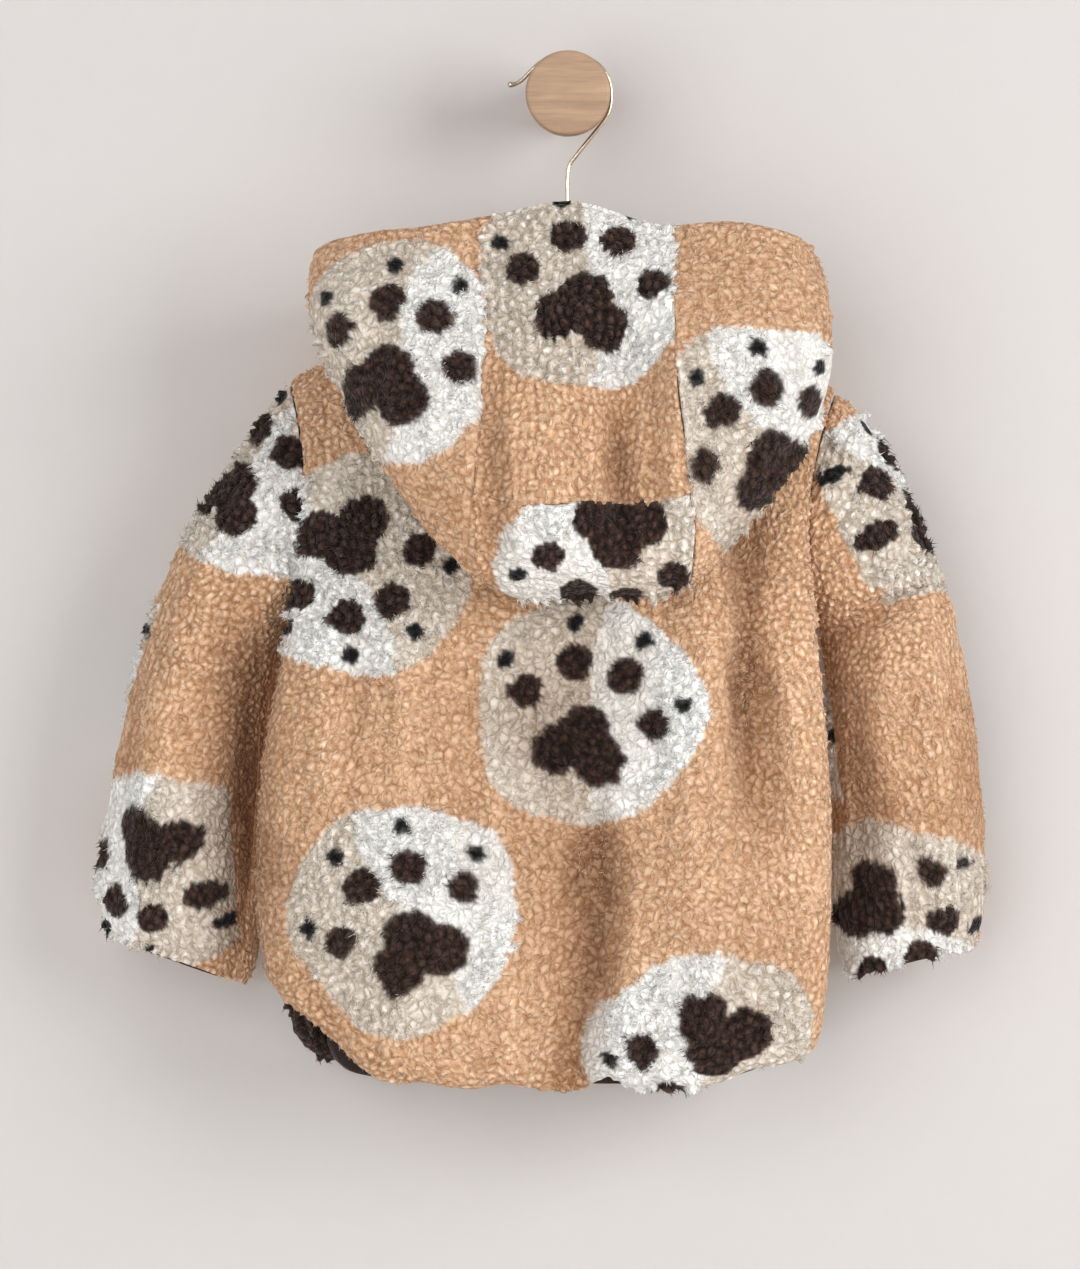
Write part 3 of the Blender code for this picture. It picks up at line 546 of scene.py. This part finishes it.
def point_tree(points, indices):
    """Return a search tree of some of the points."""
    tree = KDTree(len(indices))
    for index in indices:
        tree.insert(points[index], int(index))
    tree.balance()
    return tree


def lean_over_seams(points, aside, covered, bare, node, reach):
    """Return how far the pile at each point leans over the seam beside it, and which way."""
    lap = np.zeros_like(points)
    border = [
        index for index in np.flatnonzero(covered & bare)
        if gap_to_others(points[index], node) < SEAM_GAP
    ]
    if not border:
        return lap
    tree = point_tree(points, border)
    for index in np.flatnonzero(covered):
        seam, distance = tree.find(points[index])[1:]
        share = min(distance / reach, 1.0)
        lap[index] = aside[seam] * (1 - ease(share))
    return lap


def blend_neighbours(mesh, values, share):
    """Return values at a mesh's points, each drawn a share of the way to its neighbours' mean."""
    edges = read_values(mesh.edges, "vertices", width=2, kind=int)
    first, second = edges.T
    total = np.zeros_like(values)
    np.add.at(total, first, values[second])
    np.add.at(total, second, values[first])
    count = np.bincount(edges.ravel(), minlength=len(values))[:, None]
    return values * (1 - share) + total / np.maximum(count, 1) * share


# How the tufts stand: how far each strays from the print, the size of the lumps in which their
# lean drifts, how much one leans for its height, and the height of the shortest, in m.
TUFT_STRAY = 0.0006
SWAY_SIZE = 0.034
LEAN_SHARE = 0.45
SHORTEST_TUFT = 0.0002
# How curly they are: the size of the lumps in which borders wander, and how far those of the
# tufts and of the print do; the size of their clumps; and the size and height of the roughness.
WARP_SIZE = 0.0035
TUFT_WARP = 0.0006
PRINT_WARP = 0.0009
CLUMP_SIZE = 0.015
ROUGH_SIZE = 0.0024
ROUGH_HEIGHT = 0.00035
# How wide the pile's lap beside a seam is, and how much it rises there and reaches over it.
SEAM_LAP = 0.004
SEAM_RISE = 0.0004


def plant_tufts(middles, face_normals, frames, seed):
    """Return the tufts' roots, strays, free reach, heights, leans and brightness."""
    random = np.random.default_rng(seed)
    picked = tuft_roots(middles, INK_SPACING[print_inks(middles, frames)], random)
    roots, normals = middles[picked], face_normals[picked]
    inks = print_inks(roots, frames)
    stray = random.normal(0, TUFT_STRAY, roots.shape)
    reach = open_reach(roots, normals)
    # A tuft stays short where cloth or the wall is close in front of it.
    height = INK_PILE[inks] * random.uniform(0.75, 1.25, len(roots))
    height = np.minimum(height, np.maximum(0.4 * reach, SHORTEST_TUFT))
    # The pile falls downward, swayed in wide lumps, and each tuft leans that way along the cloth.
    sway = drift_ways(roots, SWAY_SIZE, seed * 10 + 4)
    fall = np.array((0.0, 0.0, -1.0)) + 2.2 * sway + random.normal(0, 0.25, roots.shape)
    lean = unit(fall - normals * np.sum(fall * normals, axis=1)[:, None])
    bright = random.normal(1.0, 0.05, len(roots))
    return roots, stray, reach, height, lean, bright


def tuft_domes(places, roots, lean):
    """Return the tuft that each place belongs to, and how far up its dome the place lies."""
    tree = point_tree(roots, range(len(roots)))
    found = np.array([[tuft for _, tuft, _ in tree.find_n(place, 5)] for place in places])
    offset = places[:, None, :] - roots[found]
    # A tuft is longer along its lean, so its distance is counted short that way.
    along = np.sum(offset * lean[found], axis=2)
    distance = np.sqrt(np.maximum(np.sum(offset ** 2, axis=2) - 0.55 * along ** 2, 0.0))
    order = np.argsort(distance, axis=1)
    first, second = np.take_along_axis(distance, order[:, :2], 1).T
    tuft = np.take_along_axis(found, order[:, :1], 1)[:, 0]
    dome = np.clip((second - first) / (second + first + 1e-9) * 1.15, 0, 1)
    return tuft, ease(dome)


def dye_pile_and_paint_shade(mesh, inside, places, inks, tuft, dome, bright, seed):
    """Colour the pile in its inks from its roots to its tips, with painted shade between the tufts down at
    their roots and in the creases, and a painted highlight on the ridges.
    """
    # Painted shade between the tufts: a point low on its tuft's dome takes more of the root's darker
    # colour.
    depth = np.clip(0.08 + dome * 0.95 + 0.12 * drift(places, 0.002, seed + 7), 0, 1)[:, None]
    pressed = read_values(mesh.attributes["pressed"].data, "value")
    patch = 1 + 0.05 * drift(places, 0.03, seed + 8)
    # Painted shade in the creases and a painted highlight on the ridges, by how deep each point is pressed
    # in.
    patch *= np.clip(1 - CREASE_PAINTED_SHADE * pressed[inside], *CREASE_PAINTED_SHADE_LIMITS)
    colours = np.ones((len(mesh.vertices), 4))
    colours[:, :3] = BARE_YARN
    mixed = INK_PAINTED_ROOT_SHADES[inks] * (1 - depth) + INK_TIPS[inks] * depth
    colours[inside, :3] = mixed * bright[tuft][:, None] * patch[:, None] ** CREASE_PAINTED_SHADE_WARMTH
    colours = blend_neighbours(mesh, colours, 0.25)
    layer = mesh.color_attributes.new("pile_colour", "FLOAT_COLOR", "POINT")
    layer.data.foreach_set("color", colours.ravel())


def raise_pile(piece, node, prints, seed):
    """Raise a piece's pile side into tufts in the print's inks, and return what fibres need."""
    mesh = piece.data
    points = read_values(mesh.vertices, "co", width=3)
    normals, aside, covered, bare, middles, face_normals = pile_normals(mesh)
    frames = print_frames(piece, prints)
    roots, stray, reach, height, lean, bright = plant_tufts(middles, face_normals, frames, seed)

    inside = np.flatnonzero(covered)
    places = points[inside]
    # The warp gives the tufts curly borders.
    warp = drift_ways(places, WARP_SIZE, seed * 10 + 1)
    tuft, dome = tuft_domes(places + warp * TUFT_WARP, roots, lean)
    lap = lean_over_seams(points, aside, covered, bare, node, SEAM_LAP)[inside]
    at_seam = np.linalg.norm(lap, axis=1)
    # The domes rise higher in clumps, are rough on top, and lie flatter where they meet a seam.
    clump = 1 + 0.45 * drift(places, CLUMP_SIZE, seed + 5)
    rise = height[tuft] * clump * (0.15 + dome) * (1 - 0.35 * at_seam)
    rough = ROUGH_HEIGHT * drift(places, ROUGH_SIZE, seed + 6)
    rise += rough * np.minimum(height[tuft] / INK_PILE[CAMEL], 1)
    rise += SEAM_RISE * at_seam
    standing = np.zeros((len(points), 1))
    standing[inside, 0] = rise
    rise = 1.15 * blend_neighbours(mesh, standing, 0.35)[inside, 0]
    moved = points.copy()
    moved[inside] += normals[inside] * rise[:, None] + lean[tuft] * (rise * LEAN_SHARE)[:, None]
    moved[inside] += lap * (SEAM_RISE + 0.6 * rise)[:, None]
    mesh.vertices.foreach_set("co", moved.ravel())
    mesh.update()

    inks = print_inks(places + warp * PRINT_WARP + stray[tuft], frames)
    dye_pile_and_paint_shade(mesh, inside, places, inks, tuft, dome, bright, seed)
    tuft_of_point = np.full(len(points), -1)
    tuft_of_point[inside] = tuft
    ink_of_point = np.full(len(points), CAMEL)
    ink_of_point[inside] = inks
    return tuft_of_point, ink_of_point, lean, reach


# How thick a loose fibre is, and how deep it is rooted in the pile, in m.
FIBRE_RADIUS = 0.00036
FIBRE_ROOT = 0.0004
# The loose fibres are counted to a patch of this size, in cm2, and only stand where the cloth
# has this much room in front of it, in m.
FIBRE_PATCH = 1.5
FIBRE_ROOM = 0.009


def closed_spikes(name, base, out, way, length, random):
    """Return a mesh of thin three-sided spikes, each from its base along its way."""
    count = len(base)
    side = unit(np.cross(way, random.normal(0, 1, (count, 3))))
    other = np.cross(way, side)
    root = base - out * FIBRE_ROOT
    places = np.empty((count, 4, 3))
    for corner in range(3):
        turn = corner * math.tau / 3
        places[:, corner] = root + FIBRE_RADIUS * (side * math.cos(turn) + other * math.sin(turn))
    places[:, 3] = base + way * length[:, None]
    faces = np.array(((0, 2, 1), (0, 1, 3), (1, 2, 3), (2, 0, 3)))
    corners = (np.arange(count)[:, None, None] * 4 + faces[None]).reshape(-1)
    mesh = bpy.data.meshes.new(name)
    mesh.vertices.add(count * 4)
    mesh.vertices.foreach_set("co", places.ravel())
    mesh.loops.add(count * 12)
    mesh.loops.foreach_set("vertex_index", corners)
    mesh.polygons.add(count * 4)
    mesh.polygons.foreach_set("loop_start", np.arange(count * 4) * 3)
    mesh.update(calc_edges=True)
    return mesh


def loose_fibres(piece, pile, per_patch, seed):
    """Return the fibres that stand out of a piece's pile, each a thin closed spike."""
    tuft_of_point, ink_of_point, lean, reach = pile
    random = np.random.default_rng(seed + 500)
    mesh = piece.data
    points, corners, starts, _, slots = mesh_arrays(mesh)
    normals = read_values(mesh.polygons, "normal", width=3)
    areas = read_values(mesh.polygons, "area")
    tuft = tuft_of_point[corners[starts]]
    grows = (slots == PILE) & (tuft >= 0)
    grows[grows] = reach[tuft[grows]] > FIBRE_ROOM
    inks = ink_of_point[corners[starts]]
    weight = np.where(grows, areas * INK_FUZZ[inks], 0)
    count = int(areas[slots == PILE].sum() * 1e4 * per_patch / FIBRE_PATCH)
    chosen = random.choice(len(starts), count, p=weight / weight.sum())
    tuft, out, ink = tuft[chosen], normals[chosen], inks[chosen]
    share = random.uniform(0, 1, (count, 1))
    first, second = points[corners[starts[chosen]]], points[corners[starts[chosen] + 2]]
    base = first * share + second * (1 - share)
    # A fibre stands outward, leans with its tuft and strays, but never back into the pile.
    way = unit(0.75 * out + 0.8 * lean[tuft] + 0.45 * random.normal(0, 1, (count, 3)))
    way = unit(way + out * np.maximum(0.3 - np.sum(way * out, axis=1), 0)[:, None])
    length = INK_FIBRE[ink] * random.uniform(0.5, 1.25, count)
    fuzz_mesh = closed_spikes(piece.name + "_fuzz", base, out, way, length, random)
    bright = random.normal(1, 0.07, (count, 1))
    colours = np.ones((count, 4, 4))
    # A fibre's base takes a share of its ink's painted root shade.
    colours[:, :3, :3] = (INK_PAINTED_ROOT_SHADES[ink] * 0.35 + INK_TIPS[ink] * 0.65)[:, None, :]
    colours[:, 3, :3] = INK_TIPS[ink] * 1.08
    colours[:, :, :3] *= bright[:, :, None]
    layer = fuzz_mesh.color_attributes.new("pile_colour", "FLOAT_COLOR", "POINT")
    layer.data.foreach_set("color", colours.ravel())
    return new_piece(piece.name + "_fuzz", fuzz_mesh)


def new_finish(name, roughness):
    """Return a new material with its node tree and shader."""
    finish = bpy.data.materials.new(name)
    finish.use_nodes = True
    shader = finish.node_tree.nodes["Principled BSDF"]
    shader.inputs["Roughness"].default_value = roughness
    return finish, finish.node_tree, shader


def grain_noise(tree, scale, detail, stretch=(1, 1, 1)):
    """Return the fine noise of a surface, stretched along an axis where its grain runs."""
    place = tree.nodes.new("ShaderNodeTexCoord")
    mapping = tree.nodes.new("ShaderNodeMapping")
    mapping.inputs["Scale"].default_value = stretch
    noise = tree.nodes.new("ShaderNodeTexNoise")
    noise.inputs["Scale"].default_value = scale
    noise.inputs["Detail"].default_value = detail
    noise.inputs["Roughness"].default_value = 0.6
    tree.links.new(place.outputs["Object"], mapping.inputs["Vector"])
    tree.links.new(mapping.outputs["Vector"], noise.inputs["Vector"])
    return noise.outputs["Fac"]


def map_value(tree, value, source, target, smooth=False):
    """Return a value mapped from one range to another, and held at its ends."""
    mapped = tree.nodes.new("ShaderNodeMapRange")
    mapped.interpolation_type = "SMOOTHSTEP" if smooth else "LINEAR"
    mapped.inputs["From Min"].default_value = source[0]
    mapped.inputs["From Max"].default_value = source[1]
    mapped.inputs["To Min"].default_value = target[0]
    mapped.inputs["To Max"].default_value = target[1]
    tree.links.new(value, mapped.inputs["Value"])
    return mapped.outputs["Result"]


def scale_colour(tree, colour, amount):
    """Return a colour made darker or lighter by an amount around 1."""
    scaled = tree.nodes.new("ShaderNodeVectorMath")
    scaled.operation = "SCALE"
    tree.links.new(colour, scaled.inputs[0])
    tree.links.new(amount, scaled.inputs["Scale"])
    return scaled.outputs["Vector"]


def shade_by(tree, colour, noise, low, high):
    """Return a colour shaded from low to high by a noise around 0.5."""
    return scale_colour(tree, colour, map_value(tree, noise, (0.3, 0.7), (low, high)))


# The pile's curls: their width in m, how far noise bends the borders between them for each
# width, and how much of it fills the gaps, so that these end here and there.
CURL_SIZE = 0.0048
CURL_BEND = 1.6
CURL_BREAK = 0.6


def curls_with_painted_gap_shade(tree, colour):
    """Return a colour with painted shade in the gaps between rounded curls and a faint painted highlight on
    their tops, and the curls' height.
    """
    place = tree.nodes.new("ShaderNodeTexCoord")
    twist = tree.nodes.new("ShaderNodeTexNoise")
    twist.inputs["Scale"].default_value = 0.6 / CURL_SIZE
    twist.inputs["Detail"].default_value = 3.0
    shift = tree.nodes.new("ShaderNodeVectorMath")
    shift.operation = "MULTIPLY_ADD"
    shift.inputs[1].default_value = [CURL_SIZE * CURL_BEND] * 3
    curls = tree.nodes.new("ShaderNodeTexVoronoi")
    curls.feature = "DISTANCE_TO_EDGE"
    curls.inputs["Scale"].default_value = 1 / CURL_SIZE
    uneven = tree.nodes.new("ShaderNodeMath")
    uneven.operation = "MULTIPLY_ADD"
    uneven.inputs[1].default_value = CURL_BREAK
    gap_shade_gamma = tree.nodes.new("ShaderNodeGamma")
    tree.links.new(place.outputs["Object"], twist.inputs["Vector"])
    tree.links.new(twist.outputs["Color"], shift.inputs[0])
    tree.links.new(place.outputs["Object"], shift.inputs[2])
    tree.links.new(shift.outputs["Vector"], curls.inputs["Vector"])
    tree.links.new(grain_noise(tree, 1.2 / CURL_SIZE, 2), uneven.inputs[0])
    tree.links.new(curls.outputs["Distance"], uneven.inputs[2])
    height = map_value(tree, uneven.outputs["Value"], (0.12, 0.70), (0, 1), smooth=True)
    gap = map_value(tree, uneven.outputs["Value"], (0.10, 0.58), (0, 1), smooth=True)
    # Painted shade: the gaps are darkened and made deeper in tone, and the curls' tops lightened a little.
    tree.links.new(colour, gap_shade_gamma.inputs["Color"])
    tree.links.new(map_value(tree, gap, (0, 1), (1.36, 0.98)), gap_shade_gamma.inputs["Gamma"])
    darker = map_value(tree, gap, (0, 1), (0.80, 1.08))
    return scale_colour(tree, gap_shade_gamma.outputs["Color"], darker), height


def add_bump(tree, shader, height, distance, strength):
    """Give a shader a fine relief from a height."""
    bump = tree.nodes.new("ShaderNodeBump")
    bump.inputs["Distance"].default_value = distance
    bump.inputs["Strength"].default_value = strength
    if shader.inputs["Normal"].links:
        tree.links.new(shader.inputs["Normal"].links[0].from_socket, bump.inputs["Normal"])
    tree.links.new(height, bump.inputs["Height"])
    tree.links.new(bump.outputs["Normal"], shader.inputs["Normal"])


def plain_colour(tree, red, green, blue):
    """Return the colour of a swatch."""
    colour = tree.nodes.new("ShaderNodeRGB")
    colour.outputs[0].default_value = (*swatch(red, green, blue), 1)
    return colour.outputs[0]


def borg_pile_finish():
    """Return the finish of the pile: matt curled fibres with a soft bloom at grazing angles."""
    finish, tree, shader = new_finish("borg_pile", 0.94)
    shader.inputs["Specular IOR Level"].default_value = 0.10
    shader.inputs["Sheen Weight"].default_value = 0.12
    shader.inputs["Sheen Roughness"].default_value = 0.5
    ink = tree.nodes.new("ShaderNodeAttribute")
    ink.attribute_name = "pile_colour"
    fine = grain_noise(tree, 1100, 3)
    # The curls carry painted shade in the gaps between them.
    shaded, curls = curls_with_painted_gap_shade(tree, ink.outputs["Color"])
    shaded = shade_by(tree, shaded, fine, 0.88, 1.10)
    tree.links.new(shaded, shader.inputs["Base Color"])
    add_bump(tree, shader, curls, 0.0019, 0.8)
    add_bump(tree, shader, fine, 0.0006, 0.5)
    return finish


def backing_finish():
    """Return the finish of the knitted backing: flat camel yarn in fine courses."""
    finish, tree, shader = new_finish("knitted_backing", 0.9)
    shader.inputs["Sheen Weight"].default_value = 0.15
    yarn = plain_colour(tree, 196, 156, 124)
    courses = grain_noise(tree, 500, 2, (1, 1, 2.2))
    tree.links.new(shade_by(tree, yarn, courses, 0.85, 1.1), shader.inputs["Base Color"])
    add_bump(tree, shader, courses, 0.0006, 0.5)
    return finish


pile_finish = borg_pile_finish()
knit_finish = backing_finish()
# How thick a fleece panel's wall is, in m.
FLEECE_THICKNESS = 0.004


def make_fleece(node, cuts, prints, per_patch, seed):
    """Return a fleece panel with its pile, and the panel's loose fibres."""
    piece = cloth_copy(node + "_fleece", node, FLEECE_THICKNESS)
    press_creases(piece)
    subdivide_pile(piece, cuts)
    pile = raise_pile(piece, node, prints, seed)
    # The pile also covers the cut edges.
    for finish in (pile_finish, knit_finish, pile_finish):
        piece.data.materials.append(finish)
    piece.data.shade_smooth()
    fuzz = loose_fibres(piece, pile, per_patch, seed)
    fuzz.data.materials.append(pile_finish)
    for part in (piece, fuzz):
        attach(part, "root")
    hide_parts(node)
    return piece, fuzz


# Each print of a panel: the side it is seen from, its middle across and in height, its turn in
# degrees and its radius, in mm.
back, back_fuzz = make_fleece("back", cuts=2, per_patch=12, seed=3, prints=(
    ("back", 12, -348, 14, 64),
    ("back", -92, -462, -24, 64),
    ("back", 78, -548, 200, 64),
    ("back", -118, -268, 160, 62),
))

# Front panel. The same fleece, a little lower at the neck and longer at the lower left, where
# it shows behind the back. It is made in the same way, with folds and prints of its own.

front, front_fuzz = make_fleece("front", cuts=2, per_patch=9, seed=5, prints=(
    ("front", -72, -300, 20, 66),
    ("front", 82, -248, -30, 64),
    ("front", 6, -420, 165, 66),
    ("front", -128, -518, -60, 66),
    ("front", 122, -504, -12, 66),
))

# Sleeves. One tapered panel each, closed by an underarm seam and set into the dropped armhole;
# the prints run on round them.

sleeve_left, sleeve_left_fuzz = make_fleece("sleeve_left", cuts=2, per_patch=11, seed=7, prints=(
    ("back", -180, -212, 30, 59),
    ("back", -240, -440, 200, 57),
    ("front", -214, -330, 60, 59),
))
sleeve_right, sleeve_right_fuzz = make_fleece("sleeve_right", cuts=2, per_patch=11, seed=9, prints=(
    ("back", 190, -226, -35, 56),
    ("back", 186, -466, 120, 56),
    ("front", 190, -368, 15, 59),
))

# Hood sides. Two side panels from the neck seam to the rim, dropped down the back in one soft
# fold.

hood_left, hood_left_fuzz = make_fleece("hood_left", cuts=1, per_patch=12, seed=11, prints=(
    ("back", -96, -148, 18, 63),
))
hood_right, hood_right_fuzz = make_fleece("hood_right", cuts=1, per_patch=12, seed=13, prints=(
    ("back", 108, -196, -28, 63),
))

# Hood middle. The crown strip runs from the rim to a cross seam and the nape strip goes on
# down to the neck, both sewn between the sides.

hood_crown, hood_crown_fuzz = make_fleece("hood_crown", cuts=2, per_patch=12, seed=15, prints=(
    ("back", 10, -108, 8, 62),
))
hood_nape, hood_nape_fuzz = make_fleece("hood_nape", cuts=2, per_patch=12, seed=17, prints=(
    ("back", 24, -266, 190, 61),
))

# Hem and cuff elastics. Dark brown stretch binding, folded in half and sewn on under tension,
# so that it draws up in fine gathers across its width.

# Each elastic's node, its flat size, the area of its cut and how far it peeps out of the pile,
# in m and m2.
ELASTICS = (
    ("hem_band", (0.62, 0.0165), 0.0102, (0, 0, 0)),
    ("cuff_band_left", (0.17, 0.0155), 0.0026, (-0.0006, 0, -0.0026)),
    ("cuff_band_right", (0.16, 0.0155), 0.0024, (0, 0, 0)),
)
ELASTIC_THICKNESS = 0.003
GATHER_PITCH = 0.0042
GATHER_DEPTH = 0.0003


def elastic_finish():
    """Return the finish of the binding: dark brown rib with a faint sheen."""
    finish, tree, shader = new_finish("brown_rib", 0.82)
    shader.inputs["Sheen Weight"].default_value = 0.25
    shader.inputs["Specular IOR Level"].default_value = 0.3
    yarn = plain_colour(tree, 52, 38, 33)
    ribs = grain_noise(tree, 700, 2, (1, 1, 0.25))
    tree.links.new(shade_by(tree, yarn, ribs, 0.7, 1.3), shader.inputs["Base Color"])
    add_bump(tree, shader, ribs, 0.0007, 0.7)
    return finish


def gather(piece, seed):
    """Draw a band up into fine upright gathers, the same through its thickness."""
    points = read_values(piece.data.vertices, "co", width=3)
    middle = points.mean(axis=0)
    turn = np.arctan2(points[:, 1] - middle[1], points[:, 0] - middle[0])
    radius = np.hypot(points[:, 0] - middle[0], points[:, 1] - middle[1])
    wave = np.sin(turn * radius.mean() / GATHER_PITCH * math.tau + 2 * drift(points, 0.03, seed))
    out = unit(np.stack([np.cos(turn), np.sin(turn), np.zeros(len(turn))], axis=1))
    points += out * (GATHER_DEPTH * wave * (0.6 + 0.4 * drift(points, 0.02, seed + 1)))[:, None]
    piece.data.vertices.foreach_set("co", points.ravel())
    piece.data.update()


rib_finish = elastic_finish()
for row, (node, flat, area, peep) in enumerate(ELASTICS):
    band = cloth_copy(node + "_elastic", node, ELASTIC_THICKNESS)
    press_creases(band)
    gather(band, row)
    band.data.transform(Matrix.Translation(peep))
    for _ in (PILE, BACKING, CUT_EDGE):
        band.data.materials.append(rib_finish)
    band.data.shade_smooth()
    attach(band, "root")
    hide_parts(node)

# Hanger. A bent wire hook with a ball end, champagne plated, and the rod that carries the
# shoulders. The hook is a rounded copy of its solid, and the rod keeps its own.


def metal_finish():
    """Return the finish of the wire: satin plating with fine marks drawn along it."""
    finish, tree, shader = new_finish("champagne_plating", 0.24)
    shader.inputs["Metallic"].default_value = 1.0
    plating = plain_colour(tree, 216, 204, 182)
    marks = grain_noise(tree, 900, 3, (1, 1, 0.3))
    tree.links.new(shade_by(tree, plating, marks, 0.93, 1.05), shader.inputs["Base Color"])
    add_bump(tree, shader, marks, 0.00006, 0.3)
    return finish


plated = metal_finish()
hook_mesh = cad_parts["hanger_hook"].data.copy()
hook_mesh.materials.clear()
hook_mesh.materials.append(plated)
hook = new_piece("hook_wire", hook_mesh)
weld = hook.modifiers.new("weld", "WELD")
weld.merge_threshold = SAME_POINT
round_off(hook)
hook.data.shade_smooth()
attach(hook, "root")
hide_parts("hanger_hook")
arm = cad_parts["hanger_arm"]
arm.data.materials.clear()
arm.data.materials.append(plated)

# Wall peg. One piece of beech, turned with a broad flat head, a step behind it and a tapered
# stem that meets the wall. It is extruded ring by ring from a disc at the wall.

peg_low, peg_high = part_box("peg")
PEG_ACROSS = (peg_low.x + peg_high.x) / 2
PEG_HEIGHT = (peg_low.z + peg_high.z) / 2
PEG_LENGTH = peg_high.y - peg_low.y
PEG_SIDES = 128
FOOT_RADIUS = 0.015
# The rings from the stem to the middle of the head: each one's distance behind the head's flat
# face and its radius, in mm.
PEG_RINGS = (
    (24, 20.6), (13, 20.6), (13, 23.2), (12.6, 23.75), (12, 24), (2, 24),
    (1.2, 23.8), (0.5, 23.3), (0.1, 22.5), (0, 21.6), (0, 10.0),
)


def beech_finish():
    """Return the finish of the peg: oiled beech, its grain lying across the face."""
    finish, tree, shader = new_finish("oiled_beech", 0.5)
    shader.inputs["Specular IOR Level"].default_value = 0.35
    wood = plain_colour(tree, 181, 149, 121)
    bands = grain_noise(tree, 26, 3, (0.35, 0.35, 6.0))
    fibres = grain_noise(tree, 300, 4, (0.06, 0.06, 1.4))
    flecks = grain_noise(tree, 900, 2, (0.12, 0.12, 1.0))
    shaded = shade_by(tree, wood, bands, 0.80, 1.10)
    shaded = shade_by(tree, shaded, fibres, 0.86, 1.10)
    shaded = shade_by(tree, shaded, flecks, 0.93, 1.05)
    tree.links.new(shaded, shader.inputs["Base Color"])
    add_bump(tree, shader, fibres, 0.0002, 0.35)
    return finish


bpy.ops.mesh.primitive_circle_add(
    vertices=PEG_SIDES, radius=FOOT_RADIUS, fill_type="NGON",
    location=(PEG_ACROSS, 0.0, PEG_HEIGHT), rotation=(math.radians(90), 0, 0),
)
peg = bpy.context.object
peg.name = peg.data.name = "turned_peg"
bpy.ops.object.transform_apply(location=True, rotation=True, scale=True)
bpy.ops.object.mode_set(mode="EDIT")
bpy.ops.mesh.select_all(action="SELECT")
last_reach, last_radius = 0.0, FOOT_RADIUS
for behind, radius in PEG_RINGS:
    reach = PEG_LENGTH - behind * MM
    wider = radius * MM / last_radius
    bpy.ops.mesh.extrude_region_move(TRANSFORM_OT_translate={"value": (0, last_reach - reach, 0)})
    bpy.ops.transform.resize(
        value=(wider, 1, wider), center_override=(PEG_ACROSS, -reach, PEG_HEIGHT),
    )
    last_reach, last_radius = reach, radius * MM
bpy.ops.mesh.select_all(action="SELECT")
bpy.ops.mesh.normals_make_consistent(inside=False)
bpy.ops.object.mode_set(mode="OBJECT")
bpy.ops.object.shade_smooth_by_angle(angle=math.radians(40))
peg.data.materials.append(beech_finish())
peg.select_set(False)
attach(peg, "root")
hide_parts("peg")

# Wall, floor and light. A pale warm plaster wall behind the peg, a pale floor far below, and
# soft studio light from the right and a little above. None of it is part of the jacket.


def paint_finish(name, red, green, blue):
    """Return a matt pale paint with a barely seen grain."""
    finish, tree, shader = new_finish(name, 0.9)
    paint = plain_colour(tree, red, green, blue)
    grain = grain_noise(tree, 60, 3)
    tree.links.new(shade_by(tree, paint, grain, 0.995, 1.005), shader.inputs["Base Color"])
    return finish, tree, shader


# The wall stands just clear of the peg's foot.
WALL_BEHIND = 0.0008
FLOOR_HEIGHT = -1.25
STAGE_SIZE = 8
wall_paint, tree, shader = paint_finish("wall_paint", 206, 202, 200)
# Seen from behind, the wall is clear, so that it never hides the jacket's front.
side = tree.nodes.new("ShaderNodeNewGeometry")
clear = tree.nodes.new("ShaderNodeBsdfTransparent")
either = tree.nodes.new("ShaderNodeMixShader")
tree.links.new(side.outputs["Backfacing"], either.inputs["Fac"])
tree.links.new(shader.outputs["BSDF"], either.inputs[1])
tree.links.new(clear.outputs["BSDF"], either.inputs[2])
tree.links.new(either.outputs["Shader"], tree.nodes["Material Output"].inputs["Surface"])
bpy.ops.mesh.primitive_plane_add(
    size=STAGE_SIZE, location=(0, WALL_BEHIND, FLOOR_HEIGHT + STAGE_SIZE / 2),
    rotation=(math.radians(90), 0, 0),
)
wall = bpy.context.object
wall.name = "wall"
wall.data.materials.append(wall_paint)
# It throws no shadow, so that the rear light reaches the jacket's front.
wall.visible_shadow = False
bpy.ops.mesh.primitive_plane_add(
    size=STAGE_SIZE, location=(0, WALL_BEHIND - STAGE_SIZE / 2, FLOOR_HEIGHT),
)
floor = bpy.context.object
floor.name = "floor"
floor.data.materials.append(paint_finish("floor_paint", 228, 224, 220)[0])


JACKET_MIDDLE = Vector((0, 0, -0.3))


def soft_light(name, place, size, power):
    """Add a square soft light at a place, turned to the jacket."""
    lamp = bpy.data.lights.new(name, "AREA")
    lamp.size = size
    lamp.energy = power
    light = new_piece(name, lamp)
    light.location = place
    light.rotation_euler = (JACKET_MIDDLE - Vector(place)).to_track_quat("-Z", "Y").to_euler()


# The key from the right, the fill from the left, and one behind for the jacket's front.
soft_light("key", (2.5, -2.2, 0.3), 1.9, 71)
soft_light("fill", (-1.4, -3.1, 0.0), 2.6, 54)
soft_light("rear", (-0.6, 2.4, 0.3), 1.6, 44)
world = bpy.data.worlds.new("studio")
world.use_nodes = True
air = world.node_tree.nodes["Background"]
air.inputs["Color"].default_value = (0.96, 0.97, 1.0, 1)
air.inputs["Strength"].default_value = 0.40
bpy.context.scene.world = world
bpy.context.scene.view_settings.view_transform = "Standard"

# A long lens, level with the middle of the jacket and square to the wall.
CAMERA_PLACE = (-0.0157, -4.048, -0.305)
lens = bpy.data.cameras.new("camera")
lens.lens = 200
lens.sensor_width = 36
camera = new_piece("camera", lens)
camera.location = CAMERA_PLACE
camera.rotation_euler = (math.radians(90), 0, 0)
bpy.context.scene.camera = camera
